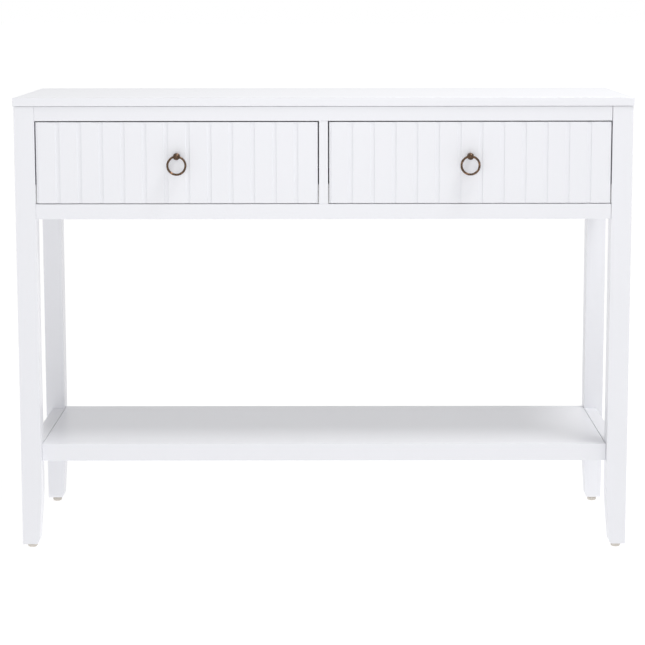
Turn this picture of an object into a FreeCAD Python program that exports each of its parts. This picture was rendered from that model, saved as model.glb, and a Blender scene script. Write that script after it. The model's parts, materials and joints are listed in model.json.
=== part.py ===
"""Console table: two inset drawers with ring pulls over a low shelf, on four square legs.

Frame: +X to the right, the drawers face -Y, +Z up, origin on the floor under the middle of the whole
table, pulls included.
All sizes are in millimetres.
"""
import FreeCAD, Part
import math
import os
import re
import Sketcher

SIZES = {
    # the table as a whole
    "table_width": 1100,
    "table_depth": 350,
    "table_height": 820,
    "top_thickness": 15,
    "top_overhang": 1.5,
    "top_edge_radius": 1,
    # legs and glides
    "leg_size": 36,
    "leg_edge_radius": 1,
    "taper_height": 113,
    "taper_depth": 6.5,
    "taper_radius": 624,
    "foot_corner_width": 5,
    "foot_corner_height": 9,
    "foot_corner_radius": 12,
    "glide_radius": 8.75,
    "glide_height": 8,
    "glide_edge": 1,
    "glide_inset": 15.5,
    "glide_stem_radius": 2.5,
    "glide_stem_length": 12,
    # drawer case
    "rail_depth": 22,
    "rail_setback": 0.5,
    "top_rail_height": 26,
    "lower_rail_height": 27,
    "opening_height": 148,
    "divider_thickness": 16,
    "apron_thickness": 15,
    "side_apron_inset": 12,
    "back_apron_inset": 3,
    "batten_height": 40,
    # low shelf
    "shelf_height": 191,
    "shelf_rail_height": 31,
    "shelf_front_setback": 14,
    "shelf_front_thickness": 22,
    "shelf_rear_setback": 14,
    "shelf_rear_thickness": 30,
    "shelf_side_inset": 12,
    "shelf_panel_thickness": 12,
    "shelf_side_seam": 1,
    "shelf_end_seam": 0.4,
    "cleat_size": 12,
    "cleat_screw_pitch": 320,
    "cleat_screw_length": 20,
    # drawer fronts
    "front_thickness": 19,
    "front_side_gap": 2.2,
    "front_top_gap": 2,
    "front_bottom_gap": 1.5,
    "board_count": 13,
    "channel_width": 7,
    "channel_depth": 1.3,
    # drawer boxes
    "box_rear_gap": 9.5,
    "box_height": 110,
    "box_wall": 12,
    "bottom_thickness": 5,
    "bottom_rise": 6,
    "groove_depth": 5,
    "groove_slack": 0.2,
    # drawer slides
    "slide_space": 12.5,
    "slide_rear_gap": 7.5,
    "slide_height": 34,
    "slide_rise": 1,
    "slide_front_gap": 2,
    "slide_metal": 1.2,
    "track_web_gap": 0.5,
    "track_tongue_setback": 3,
    "track_lip": 3,
    "runner_rise": 8,
    "runner_height": 22,
    "runner_flange_gap": 3.6,
    "roller_radius": 11,
    "roller_web_gap": 2.3,
    "roller_wall_gap": 3,
    "roller_inset": 14,
    "roller_running_gap": 0.3,
    "axle_radius": 2,
    "axle_head_radius": 3,
    "axle_head_length": 0.6,
    # pulls
    "pull_rise": 12,
    "pull_reach": 12,
    "ball_radius": 6.25,
    "neck_radius": 3.2,
    "pull_base_radius": 5.5,
    "pull_base_thickness": 1.5,
    "ring_radius": 16,
    "ring_wire_radius": 2,
    "ring_clearance": 0.1,
    "pull_screw_radius": 2,
    "pull_screw_grip": 6,
    "pull_screw_head_radius": 4.5,
    "pull_screw_head_length": 2.4,
    # fixings
    "fit": 0.05,
    "dowel_radius": 3,
    "dowel_half": 15,
    "dowel_end_gap": 0.5,
    "rail_dowel_offset": 6,
    "apron_dowel_offset": 70,
    "shelf_dowel_offset": 9,
    "box_dowel_offset": 30,
    "box_dowel_in_face": 8,
    "box_dowel_in_end": 16,
    "screw_radius": 1.75,
    "screw_head_radius": 3.2,
    "screw_head_length": 2,
    "screw_length": 9,
    "track_screw_rise": 27,
    "runner_screw_rise": 24,
    "slide_screw_inset": 45,
    "slide_screw_stagger": 12,
    "bracket_size": 25,
    "bracket_width": 20,
    "bracket_metal": 2,
    "bracket_hole": 14,
}

doc = FreeCAD.newDocument("ConsoleTable")
sheet = doc.addObject("Spreadsheet::Sheet", "Sizes")
for row, (size_name, size) in enumerate(SIZES.items(), start=1):
    sheet.set(f"A{row}", size_name)
    sheet.set(f"B{row}", str(size))
    sheet.setAlias(f"B{row}", size_name)
doc.recompute()

# Places that several pieces share, each an expression on the sheet's sizes.
FRAME_X = "(table_width / 2 - top_overhang)"
FRAME_Y = "(table_depth / 2 - top_overhang)"
LEG_X = f"({FRAME_X} - leg_size)"
LEG_Y = f"({FRAME_Y} - leg_size)"
FRAME_TOP = "(table_height - top_thickness)"
OPENING_TOP = f"({FRAME_TOP} - top_rail_height)"
OPENING_BOTTOM = f"({OPENING_TOP} - opening_height)"
CASE_BOTTOM = f"({OPENING_BOTTOM} - lower_rail_height)"
CASE_MIDDLE = f"(({CASE_BOTTOM} + {FRAME_TOP}) / 2)"
RAIL_FRONT = f"(rail_setback - {FRAME_Y})"
RAIL_BACK = f"({RAIL_FRONT} + rail_depth)"
RAIL_MIDDLE = f"({RAIL_FRONT} + rail_depth / 2)"
APRON_OUTER_X = f"({FRAME_X} - side_apron_inset)"
APRON_INNER_X = f"({APRON_OUTER_X} - apron_thickness)"
BACK_OUTER_Y = f"({FRAME_Y} - back_apron_inset)"
BACK_INNER_Y = f"({BACK_OUTER_Y} - apron_thickness)"
DIVIDER_X = "(divider_thickness / 2)"
SHELF_BOTTOM = "(shelf_height - shelf_rail_height)"
SHELF_MIDDLE = "(shelf_height - shelf_rail_height / 2)"
SHELF_FRONT = f"(shelf_front_setback - {FRAME_Y})"
SHELF_FRONT_BACK = f"({SHELF_FRONT} + shelf_front_thickness)"
SHELF_REAR = f"({FRAME_Y} - shelf_rear_setback)"
SHELF_REAR_FACE = f"({SHELF_REAR} - shelf_rear_thickness)"
SHELF_SIDE_X = f"({FRAME_X} - shelf_side_inset)"
PANEL_BOTTOM = "(shelf_height - shelf_panel_thickness)"
FRONT_BACK = f"({RAIL_FRONT} + front_thickness)"
FRONT_BOTTOM = f"({OPENING_BOTTOM} + front_bottom_gap)"
FRONT_TOP = f"({OPENING_TOP} - front_top_gap)"
FRONT_WIDTH = f"({LEG_X} - {DIVIDER_X} - 2 * front_side_gap)"
BOARD_PITCH = f"({FRONT_WIDTH} / board_count)"
DRAWER_X = f"(({LEG_X} + {DIVIDER_X}) / 2)"
SLIDE_FRONT = f"({FRONT_BACK} + slide_front_gap)"
SLIDE_LENGTH = f"({BACK_INNER_Y} - slide_rear_gap - {SLIDE_FRONT})"
SLIDE_BOTTOM = f"({OPENING_BOTTOM} + slide_rise)"
SCREW_PITCH = f"(({SLIDE_LENGTH} - 2 * slide_screw_inset) / 2)"
TRACK_WIDTH = "(slide_space - slide_metal - track_web_gap)"
TRACK_TOP = "(slide_space - slide_metal - roller_web_gap)"
TRACK_TONGUE = f"({SLIDE_FRONT} - {RAIL_FRONT} - track_tongue_setback)"
ROLLER_WIDTH = "(slide_space - slide_metal - roller_wall_gap - roller_web_gap)"
BOX_BACK = f"({BACK_INNER_Y} - box_rear_gap)"
BOX_BOTTOM = f"({SLIDE_BOTTOM} + runner_rise + slide_metal)"
BOX_TOP = f"({BOX_BOTTOM} + box_height)"
BOX_MIDDLE = f"({BOX_BOTTOM} + box_height / 2)"
BOX_OUTER_X = f"({LEG_X} - slide_space)"
BOX_INNER_X = f"({DIVIDER_X} + slide_space)"
BOTTOM_LOW = f"({BOX_BOTTOM} + bottom_rise)"
BOTTOM_TOP = f"({BOTTOM_LOW} + bottom_thickness)"
FRONT_ROLLER_Y = f"({SLIDE_FRONT} + roller_inset)"
RUNNER_FLANGE_Z = f"({SLIDE_BOTTOM} + runner_rise + runner_height - slide_metal)"
FRONT_ROLLER_Z = f"({RUNNER_FLANGE_Z} - roller_running_gap - roller_radius)"
REAR_ROLLER_Y = f"({SLIDE_FRONT} + {SLIDE_LENGTH} - roller_inset)"
REAR_ROLLER_Z = f"({SLIDE_BOTTOM} + slide_metal + roller_running_gap + roller_radius)"
PULL_Y = f"({RAIL_FRONT} - pull_reach)"
PULL_Z = f"(({FRONT_BOTTOM} + {FRONT_TOP}) / 2 + pull_rise)"

# The pieces are laid out from the middle of the top. The pulls stand out in front of it, so the middle
# of the whole table is nearer the front by half of what they stand out.
ORIGIN_Y = "((pull_reach + ball_radius - top_overhang - rail_setback) / 2)"

SIDES = {"left": -1, "right": 1}
ENDS = {"front": -1, "rear": 1}

# Sketch planes by the axis that they face: plane, axis index, indexes of the sketch's own axes,
# sign of the plane's normal, and whether a cut towards + needs Reversed.
PLANES = {
    "X": ("YZ_Plane", 0, (1, 2), 1, True),
    "Y": ("XZ_Plane", 1, (0, 2), -1, False),
    "Z": ("XY_Plane", 2, (0, 1), 1, True),
}

# Turns that carry a cylinder's own +Z to each direction.
TURNS = {
    "+X": FreeCAD.Rotation(FreeCAD.Vector(0, 1, 0), 90),
    "-X": FreeCAD.Rotation(FreeCAD.Vector(0, 1, 0), -90),
    "+Y": FreeCAD.Rotation(FreeCAD.Vector(1, 0, 0), -90),
    "-Y": FreeCAD.Rotation(FreeCAD.Vector(1, 0, 0), 90),
    "+Z": FreeCAD.Rotation(),
    "-Z": FreeCAD.Rotation(FreeCAD.Vector(1, 0, 0), 180),
}

nodes = []      # the finished sub-parts, in the order in which they are made
places = {}     # body name to the expressions of its Placement's base
cuts = []       # features that must take material away


# ---------------------------------------------------------------- expressions
def expression(text):
    """Point every size name in the text at its cell."""
    def cell(match):
        return f"Sizes.{match[0]}" if match[0] in SIZES else match[0]
    return re.sub(r"[a-z_]+", cell, str(text))


def bind(thing, prop, text):
    """Tie one property to an expression."""
    thing.setExpression(prop, expression(text))


def value(text):
    """The number that an expression gives now."""
    result = sheet.evalExpression(expression(text))
    return float(getattr(result, "Value", result))


def put(thing, at):
    """Tie a Placement's base to a point given from the middle of the top."""
    bind(thing, "Placement.Base.x", at[0])
    bind(thing, "Placement.Base.y", f"({at[1]}) + {ORIGIN_Y}")
    bind(thing, "Placement.Base.z", at[2])


def mirrored(side, inner, outer):
    """Low and high x of a piece that lies between inner and outer on one side."""
    if side > 0:
        return inner, outer
    return f"-({outer})", f"-({inner})"


def node(thing, label):
    """Name a finished sub-part and list it."""
    thing.Label = label
    nodes.append(thing)
    return thing


# ---------------------------------------------------------------- sketches
def new_body(label, at):
    body = doc.addObject("PartDesign::Body", label)
    put(body, at)
    places[body.Name] = at
    return body


def new_sketch(body, axis, offset="0"):
    """A sketch on the body's own origin plane that faces the axis, moved along it by offset."""
    role, _, _, sign, _ = PLANES[axis]
    sketch = body.newObject("Sketcher::SketchObject", "Outline")
    plane = [feature for feature in body.Origin.OriginFeatures if feature.Role == role][0]
    sketch.AttachmentSupport = [(plane, "")]
    sketch.MapMode = "FlatFace"
    bind(sketch, "AttachmentOffset.Base.z", f"{sign} * ({offset})")
    return sketch


def fix(sketch, kind, text, *points):
    """Add one sized constraint and tie it to an expression."""
    index = sketch.addConstraint(Sketcher.Constraint(kind, *points, value(text)))
    sketch.setExpression(f"Constraints[{index}]", expression(text))


def curved_edge(start, end, radius):
    """An arc from start to end that bulges to the left of the way, or to the right if radius < 0."""
    chord = end - start
    left = FreeCAD.Vector(-chord.y, chord.x, 0).normalize()
    half = chord.Length / 2
    rise = math.copysign(abs(radius) - math.sqrt(radius ** 2 - half ** 2), radius)
    middle = (start + end) / 2 + left * rise
    if radius > 0:
        return Part.Arc(end, middle, start)     # a sketch's arcs run anticlockwise
    return Part.Arc(start, middle, end)


def draw(sketch, corners, arcs=None):
    """Close an outline through the corners; arcs gives the radius of the edges that curve.

    The key of an arc is the number of the corner that it starts from. Its radius is negative where
    the edge bulges to the right.
    """
    arcs = arcs or {}
    points = [FreeCAD.Vector(value(x), value(y), 0) for x, y in corners]
    ends = []
    for number, start in enumerate(points):
        end = points[(number + 1) % len(points)]
        if number in arcs:
            edge = sketch.addGeometry(curved_edge(start, end, value(arcs[number])))
        else:
            edge = sketch.addGeometry(Part.LineSegment(start, end))
        starts_here = (sketch.Geometry[edge].StartPoint - start).Length < 1e-6
        ends.append((edge, 1, 2) if starts_here else (edge, 2, 1))
    for number, (edge, first, last) in enumerate(ends):
        following, its_first, _ = ends[(number + 1) % len(ends)]
        sketch.addConstraint(Sketcher.Constraint("Coincident", edge, last, following, its_first))
        fix(sketch, "DistanceX", corners[number][0], -1, 1, edge, first)
        fix(sketch, "DistanceY", corners[number][1], -1, 1, edge, first)
    for number, radius in arcs.items():
        fix(sketch, "Radius", f"abs({radius})", ends[number][0])


def rectangle(sketch, low, high):
    draw(sketch, [(low[0], low[1]), (high[0], low[1]), (high[0], high[1]), (low[0], high[1])])


def circle(sketch, centre, radius):
    middle = FreeCAD.Vector(value(centre[0]), value(centre[1]), 0)
    edge = sketch.addGeometry(Part.Circle(middle, FreeCAD.Vector(0, 0, 1), value(radius)))
    fix(sketch, "DistanceX", centre[0], -1, 1, edge, 3)
    fix(sketch, "DistanceY", centre[1], -1, 1, edge, 3)
    fix(sketch, "Radius", radius, edge)


# ---------------------------------------------------------------- features
def pad(body, sketch, length, reverse=False):
    feature = body.newObject("PartDesign::Pad", "Pad")
    feature.Profile = sketch
    feature.Reversed = reverse
    bind(feature, "Length", length)
    return feature


def pocket(body, sketch, length, reverse):
    feature = body.newObject("PartDesign::Pocket", "Pocket")
    feature.Profile = sketch
    feature.Reversed = reverse
    bind(feature, "Length", length)
    cuts.append(feature)
    return feature


def board(label, low, high, alone=True):
    """A square-edged board between two corners, a node of its own where it stands alone."""
    body = new_body(label, low)
    if alone:
        node(body, label)
    size = [f"({top}) - ({bottom})" for bottom, top in zip(low, high)]
    sketch = new_sketch(body, "Z")
    rectangle(sketch, ("0", "0"), size[:2])
    pad(body, sketch, size[2])
    return body


def notch(body, axis, low, high):
    """Cut a box, given by its corners in the table's frame, into a body."""
    _, along, across, _, reverse = PLANES[axis]
    base = places[body.Name]
    low_here = [f"({low[i]}) - ({base[i]})" for i in range(3)]
    high_here = [f"({high[i]}) - ({base[i]})" for i in range(3)]
    sketch = new_sketch(body, axis, low_here[along])
    rectangle(sketch, [low_here[i] for i in across], [high_here[i] for i in across])
    return pocket(body, sketch, f"({high[along]}) - ({low[along]})", reverse)


def drill(body, axis, centres, start, depth, radius):
    """Drill equal holes towards +axis from start, at centres given in the table's frame."""
    _, along, across, _, reverse = PLANES[axis]
    base = places[body.Name]
    sketch = new_sketch(body, axis, f"({start}) - ({base[along]})")
    for centre in centres:
        circle(sketch, [f"({centre[i]}) - ({base[i]})" for i in across], radius)
    return pocket(body, sketch, depth, reverse)


def ease(body, feature, radius, wanted):
    """Round the edges of a feature whose ends satisfy wanted."""
    doc.recompute()
    names = []
    for number, edge in enumerate(feature.Shape.Edges, start=1):
        if wanted(edge.Vertexes[0].Point, edge.Vertexes[-1].Point):
            names.append(f"Edge{number}")
    fillet = body.newObject("PartDesign::Fillet", "Fillet")
    fillet.Base = (feature, names)
    bind(fillet, "Radius", radius)
    return fillet


# ---------------------------------------------------------------- fixings
def rod(direction, at, radius, length):
    """A plain cylinder that starts at a point and runs in a direction."""
    cylinder = doc.addObject("Part::Cylinder", "Rod")
    bind(cylinder, "Radius", radius)
    bind(cylinder, "Height", length)
    cylinder.Placement.Rotation = TURNS[direction]
    put(cylinder, at)
    return cylinder


def fused(pieces):
    fuse = doc.addObject("Part::MultiFuse", "Fused")
    fuse.Shapes = pieces
    return fuse


def group(label, pieces):
    """Separate solids that share one node."""
    compound = doc.addObject("Part::Compound", label)
    compound.Links = pieces
    return node(compound, label)


def opposite(direction):
    return ("-" if direction[0] == "+" else "+") + direction[1]


def screw(direction, seat, length="screw_length"):
    """A pan-head wood screw: seat is the middle of the head's underside."""
    shank = rod(direction, seat, "screw_radius", length)
    head = doc.addObject("Part::Cone", "Head")
    bind(head, "Radius1", "screw_head_radius")
    bind(head, "Radius2", "screw_head_radius - screw_head_length / 2")
    bind(head, "Height", "screw_head_length")
    head.Placement.Rotation = TURNS[opposite(direction)]
    put(head, seat)
    return fused([shank, head])


def moved(point, axis, by):
    """A point shifted along one axis."""
    shifted = list(point)
    shifted["XYZ".index(axis)] = f"({shifted['XYZ'.index(axis)]}) + ({by})"
    return tuple(shifted)


def pair(point, axis, offset):
    """Two points, one each side of a point."""
    return [moved(point, axis, f"-({offset})"), moved(point, axis, offset)]


DOWEL_HOLE = "dowel_radius + fit"
DOWEL_DEPTH = "dowel_half + dowel_end_gap"
SCREW_HOLE = "screw_radius + fit"


def dowel(axis, joint, back="dowel_half", ahead="dowel_half"):
    """A dowel across a joint: back and ahead are its lengths on the - and + sides of the joint."""
    start = moved(joint, axis, f"-({back})")
    return rod(f"+{axis}", start, "dowel_radius", f"({back}) + ({ahead})")


def drill_both_ends(body, axis, joints, low, high):
    """Dowel holes into both ends of a rail whose ends are at low and high."""
    drill(body, axis, joints, low, DOWEL_DEPTH, DOWEL_HOLE)
    drill(body, axis, joints, f"({high}) - ({DOWEL_DEPTH})", DOWEL_DEPTH, DOWEL_HOLE)


# ---------------------------------------------------------------- joints of the frame
def leg_joints_x(end):
    """Dowel centres on a leg's inner side face; x is left at 0."""
    if end < 0:
        upper = pair(("0", RAIL_MIDDLE, f"({OPENING_TOP} + {FRAME_TOP}) / 2"), "Z", "rail_dowel_offset")
        lower_middle = ("0", RAIL_MIDDLE, f"({CASE_BOTTOM} + {OPENING_BOTTOM}) / 2")
        lower = pair(lower_middle, "Z", "rail_dowel_offset")
        shelf_y = f"({SHELF_FRONT} + {SHELF_FRONT_BACK}) / 2"
    else:
        upper = pair(("0", f"{BACK_OUTER_Y} - apron_thickness / 2", CASE_MIDDLE), "Z", "apron_dowel_offset")
        lower = []
        shelf_y = f"({LEG_Y} + {SHELF_REAR}) / 2"
    return upper + lower, pair(("0", shelf_y, SHELF_MIDDLE), "Z", "shelf_dowel_offset")


def leg_joints_y(side):
    """Dowel centres on a leg's inner end face; y is left at 0."""
    apron_middle = (f"{side} * ({APRON_OUTER_X} - apron_thickness / 2)", "0", CASE_MIDDLE)
    case = pair(apron_middle, "Z", "apron_dowel_offset")
    shelf = [(f"{side} * ({LEG_X} + {SHELF_SIDE_X}) / 2", "0", SHELF_MIDDLE)]
    return case, shelf


# ---------------------------------------------------------------- top
def make_top():
    low = ("-table_width / 2", "-table_depth / 2", FRAME_TOP)
    high = ("table_width / 2", "table_depth / 2", "table_height")
    body = board("top_panel", low, high)
    centres = [bracket["into_top"] for bracket in brackets()]
    drilled = drill(body, "Z", centres, FRAME_TOP, "screw_length - bracket_metal", SCREW_HOLE)
    width = value("table_width")
    depth = value("table_depth")

    def outer(start, end):
        on_side = start.x == end.x and round(start.x, 3) in (0, width)
        on_end = start.y == end.y and round(start.y, 3) in (0, depth)
        return on_side or on_end

    ease(body, drilled, "top_edge_radius", outer)


def brackets():
    """Where the six top brackets sit: their corners, directions and screw places."""
    found = []
    for side in SIDES.values():
        found.append((f"{side} * {DRAWER_X}", RAIL_BACK, "-Y", 1))
        found.append((f"{side} * {DRAWER_X}", BACK_INNER_Y, "+Y", -1))
        found.append((f"{side} * {APRON_INNER_X}", "0", "+X" if side > 0 else "-X", -side))
    listed = []
    for x, y, direction, inward in found:
        corner = (x, y, FRAME_TOP)
        into_top = moved(corner, direction[1], f"{inward} * bracket_hole")
        against_wall = moved(corner, direction[1], f"{inward} * bracket_metal")
        listed.append({
            "corner": corner,
            "direction": direction,
            "inward": inward,
            "into_top": into_top,
            "top_seat": moved(into_top, "Z", "-bracket_metal"),
            "wall_seat": moved(against_wall, "Z", "-bracket_hole"),
        })
    return listed


def block(low, high):
    """A plain box between two corners."""
    box = doc.addObject("Part::Box", "Block")
    for prop, bottom, top in zip(("Length", "Width", "Height"), low, high):
        bind(box, prop, f"({top}) - ({bottom})")
    put(box, low)
    return box


def bracket_leg(bracket, reach, drop):
    """One flat leg of an angle bracket: reach is its size away from the wall, drop its height."""
    away = "XYZ".index(bracket["direction"][1])
    low = list(moved(bracket["corner"], "Z", f"-({drop})"))
    high = list(bracket["corner"])
    across = 1 - away
    low[across] = f"({bracket['corner'][across]}) - bracket_width / 2"
    high[across] = f"({bracket['corner'][across]}) + bracket_width / 2"
    if bracket["inward"] > 0:
        high[away] = f"({high[away]}) + {reach}"
    else:
        low[away] = f"({low[away]}) - {reach}"
    return block(low, high)


def make_brackets():
    """Angle brackets under the top, each with one screw up and one into the case."""
    angles = []
    screws = []
    for bracket in brackets():
        direction = bracket["direction"]
        below = moved(bracket["top_seat"], "Z", "-bracket_metal")
        before = moved(bracket["wall_seat"], direction[1], f"{bracket['inward']} * bracket_metal")
        angle = doc.addObject("Part::Cut", "Angle")
        angle.Base = fused([
            bracket_leg(bracket, "bracket_metal", "bracket_size"),
            bracket_leg(bracket, "bracket_size", "bracket_metal"),
        ])
        angle.Tool = fused([
            rod("+Z", below, SCREW_HOLE, "3 * bracket_metal"),
            rod(direction, before, SCREW_HOLE, "3 * bracket_metal"),
        ])
        angles.append(angle)
        screws.append(screw("+Z", bracket["top_seat"]))
        screws.append(screw(direction, bracket["wall_seat"]))
    group("top_brackets", angles)
    group("bracket_screws", screws)


def wall_screws(direction):
    """Centres of the bracket screws that run in one direction."""
    return [bracket["wall_seat"] for bracket in brackets() if bracket["direction"] == direction]


# ---------------------------------------------------------------- legs
def taper_outline(sign):
    """What the saw takes off one inner face of a leg, with the leg's outer face at 0."""
    reach = "sqrt(taper_height ^ 2 + (taper_radius - taper_depth) ^ 2)"
    lean = f"(asin(taper_radius / {reach}) - atan((taper_radius - taper_depth) / taper_height))"
    foot = "(leg_size - taper_depth)"
    tangent_x = f"(leg_size - taper_radius * (1 - cos({lean})))"
    tangent_z = f"(taper_height - taper_radius * sin({lean}))"
    past = "(leg_size + leg_edge_radius)"
    below = "-leg_edge_radius"
    points = [
        (f"{foot} - foot_corner_width", below),
        (f"{foot} - foot_corner_width", "0"),
        (f"{foot} + foot_corner_height * tan({lean})", "foot_corner_height"),
        (tangent_x, tangent_z),
        ("leg_size", "taper_height"),
        (past, "taper_height"),
        (past, below),
    ]
    arcs = {1: f"{-sign} * foot_corner_radius", 3: f"{-sign} * taper_radius"}
    return [(f"{sign} * ({x})", z) for x, z in points], arcs


def make_leg(end_name, side_name):
    """A square leg, tapered on its two inner faces near the foot, drilled for dowels and a glide."""
    end = ENDS[end_name]
    side = SIDES[side_name]
    low_x, high_x = mirrored(side, LEG_X, FRAME_X)
    low_y, high_y = mirrored(end, LEG_Y, FRAME_Y)
    corner = (f"{side} * {FRAME_X}", f"{end} * {FRAME_Y}", "glide_height")
    body = new_body("Leg", corner)
    node(body, f"{end_name}_{side_name}_leg")
    square = new_sketch(body, "Z")
    low_corner = (f"({low_x}) - ({corner[0]})", f"({low_y}) - ({corner[1]})")
    high_corner = (f"({high_x}) - ({corner[0]})", f"({high_y}) - ({corner[1]})")
    rectangle(square, low_corner, high_corner)
    post = pad(body, square, f"{FRAME_TOP} - glide_height")
    ease(body, post, "leg_edge_radius", lambda start, end: abs(start.z - end.z) > 1)
    for axis, inward in (("Y", -side), ("X", -end)):
        sketch = new_sketch(body, axis)
        points, arcs = taper_outline(inward)
        draw(sketch, points, arcs)
        saw = pocket(body, sketch, "4 * leg_size", False)
        saw.SideType = "Symmetric"
    hole_x = f"{LEG_X}" if side > 0 else f"-({LEG_X}) - ({DOWEL_DEPTH})"
    hole_y = f"{LEG_Y}" if end > 0 else f"-({LEG_Y}) - ({DOWEL_DEPTH})"
    drill(body, "X", sum(leg_joints_x(end), []), hole_x, DOWEL_DEPTH, DOWEL_HOLE)
    drill(body, "Y", sum(leg_joints_y(side), []), hole_y, DOWEL_DEPTH, DOWEL_HOLE)
    glide_axis = glide_place(side, end)
    stem_hole = "glide_stem_radius + fit"
    drill(body, "Z", [glide_axis], "glide_height", "glide_stem_length + dowel_end_gap", stem_hole)


def glide_place(side, end):
    return (f"{side} * ({FRAME_X} - glide_inset)", f"{end} * ({FRAME_Y} - glide_inset)", "0")


def make_glides():
    """A turned disc under each leg, with a bevelled rim and a stem pressed into the leg."""
    glides = []
    for end in ENDS.values():
        for side in SIDES.values():
            at = glide_place(side, end)
            rim = doc.addObject("Part::Cone", "Rim")
            bind(rim, "Radius1", "glide_radius - glide_edge")
            bind(rim, "Radius2", "glide_radius")
            bind(rim, "Height", "glide_edge")
            put(rim, at)
            disc = rod("+Z", moved(at, "Z", "glide_edge"), "glide_radius", "glide_height - glide_edge")
            stem = rod("+Z", moved(at, "Z", "glide_height"), "glide_stem_radius", "glide_stem_length")
            glides.append(fused([rim, disc, stem]))
    group("foot_glides", glides)


# ---------------------------------------------------------------- drawer case
def make_front_rails():
    upper, shelf = leg_joints_x(-1)
    heights = {
        "front_top_rail": (OPENING_TOP, FRAME_TOP, upper[:2]),
        "front_bottom_rail": (CASE_BOTTOM, OPENING_BOTTOM, upper[2:]),
    }
    for label, (low, high, joints) in heights.items():
        body = board(label, (f"-{LEG_X}", RAIL_FRONT, low), (LEG_X, RAIL_BACK, high))
        drill_both_ends(body, "X", joints, f"-{LEG_X}", LEG_X)
        if label == "front_top_rail":
            depth = "screw_length - bracket_metal"
            drill(body, "Y", wall_screws("-Y"), f"{RAIL_BACK} - ({depth})", depth, SCREW_HOLE)


def make_partition():
    """The board between the drawers, notched round both front rails; its front edge is the divider."""
    low = (f"-{DIVIDER_X}", RAIL_FRONT, CASE_BOTTOM)
    high = (DIVIDER_X, BACK_INNER_Y, FRAME_TOP)
    body = board("centre_partition", low, high)
    notch(body, "X", (f"-{DIVIDER_X}", RAIL_FRONT, OPENING_TOP), (DIVIDER_X, RAIL_BACK, FRAME_TOP))
    notch(body, "X", (f"-{DIVIDER_X}", RAIL_FRONT, CASE_BOTTOM), (DIVIDER_X, RAIL_BACK, OPENING_BOTTOM))
    depth = "screw_length - slide_metal"
    drill(body, "X", track_screws("left", "inner"), f"-{DIVIDER_X}", depth, SCREW_HOLE)
    drill(body, "X", track_screws("right", "inner"), f"{DIVIDER_X} - ({depth})", depth, SCREW_HOLE)


def make_aprons():
    screw_depth = "screw_length - bracket_metal"
    for name, side in SIDES.items():
        low_x, high_x = mirrored(side, APRON_INNER_X, APRON_OUTER_X)
        body = board(f"{name}_side_apron", (low_x, f"-{LEG_Y}", CASE_BOTTOM), (high_x, LEG_Y, FRAME_TOP))
        drill_both_ends(body, "Y", leg_joints_y(side)[0], f"-{LEG_Y}", LEG_Y)
        start = low_x if side > 0 else f"({high_x}) - ({screw_depth})"
        drill(body, "X", wall_screws("+X" if side > 0 else "-X"), start, screw_depth, SCREW_HOLE)
    back = board("back_apron", (f"-{LEG_X}", BACK_INNER_Y, CASE_BOTTOM), (LEG_X, BACK_OUTER_Y, FRAME_TOP))
    drill_both_ends(back, "X", leg_joints_x(1)[0], f"-{LEG_X}", LEG_X)
    drill(back, "Y", wall_screws("+Y"), BACK_INNER_Y, screw_depth, SCREW_HOLE)


def make_battens():
    """Packing between each side apron and the outer drawer slide, flush with the legs' inner faces."""
    depth = "screw_length - slide_metal"
    for name, side in SIDES.items():
        low_x, high_x = mirrored(side, LEG_X, APRON_INNER_X)
        low = (low_x, f"-{LEG_Y}", OPENING_BOTTOM)
        body = board(f"{name}_slide_batten", low, (high_x, LEG_Y, f"{OPENING_BOTTOM} + batten_height"))
        start = low_x if side > 0 else f"({high_x}) - ({depth})"
        drill(body, "X", track_screws(name, "outer"), start, depth, SCREW_HOLE)


# ---------------------------------------------------------------- shelf
def make_shelf():
    front_joints = leg_joints_x(-1)[1]
    rear_joints = leg_joints_x(1)[1]
    front_low = (f"-{LEG_X}", SHELF_FRONT, SHELF_BOTTOM)
    front = board("shelf_front_rail", front_low, (LEG_X, SHELF_FRONT_BACK, "shelf_height"))
    drill_both_ends(front, "X", front_joints, f"-{LEG_X}", LEG_X)
    rear_low = (f"-{LEG_X}", SHELF_REAR_FACE, SHELF_BOTTOM)
    rear = board("shelf_rear_rail", rear_low, (LEG_X, SHELF_REAR, "shelf_height"))
    drill_both_ends(rear, "X", rear_joints, f"-{LEG_X}", LEG_X)
    for name, side in SIDES.items():
        low_x, high_x = mirrored(side, LEG_X, SHELF_SIDE_X)
        low = (low_x, f"-{LEG_Y}", SHELF_BOTTOM)
        rail = board(f"shelf_{name}_rail", low, (high_x, LEG_Y, "shelf_height"))
        drill_both_ends(rail, "Y", leg_joints_y(side)[1], f"-{LEG_Y}", LEG_Y)
    low = (f"-{LEG_X} + shelf_side_seam", f"{SHELF_FRONT_BACK} + shelf_end_seam", PANEL_BOTTOM)
    high = (f"{LEG_X} - shelf_side_seam", f"{SHELF_REAR_FACE} - shelf_end_seam", "shelf_height")
    panel = board("shelf_panel", low, high)
    depth = "cleat_screw_length - cleat_size"
    drill(panel, "Z", cleat_screws(), PANEL_BOTTOM, depth, SCREW_HOLE)


CLEAT_BOTTOM = f"({PANEL_BOTTOM} - cleat_size)"
FRONT_CLEAT_Y = f"({SHELF_FRONT_BACK} + cleat_size / 2)"
REAR_CLEAT_Y = f"({SHELF_REAR_FACE} - cleat_size / 2)"


def cleat_screws():
    """Screw places along the front and rear cleats."""
    steps = (-1, 0, 1)
    rows = (FRONT_CLEAT_Y, REAR_CLEAT_Y)
    return [(f"{step} * cleat_screw_pitch", y, CLEAT_BOTTOM) for y in rows for step in steps]


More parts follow.
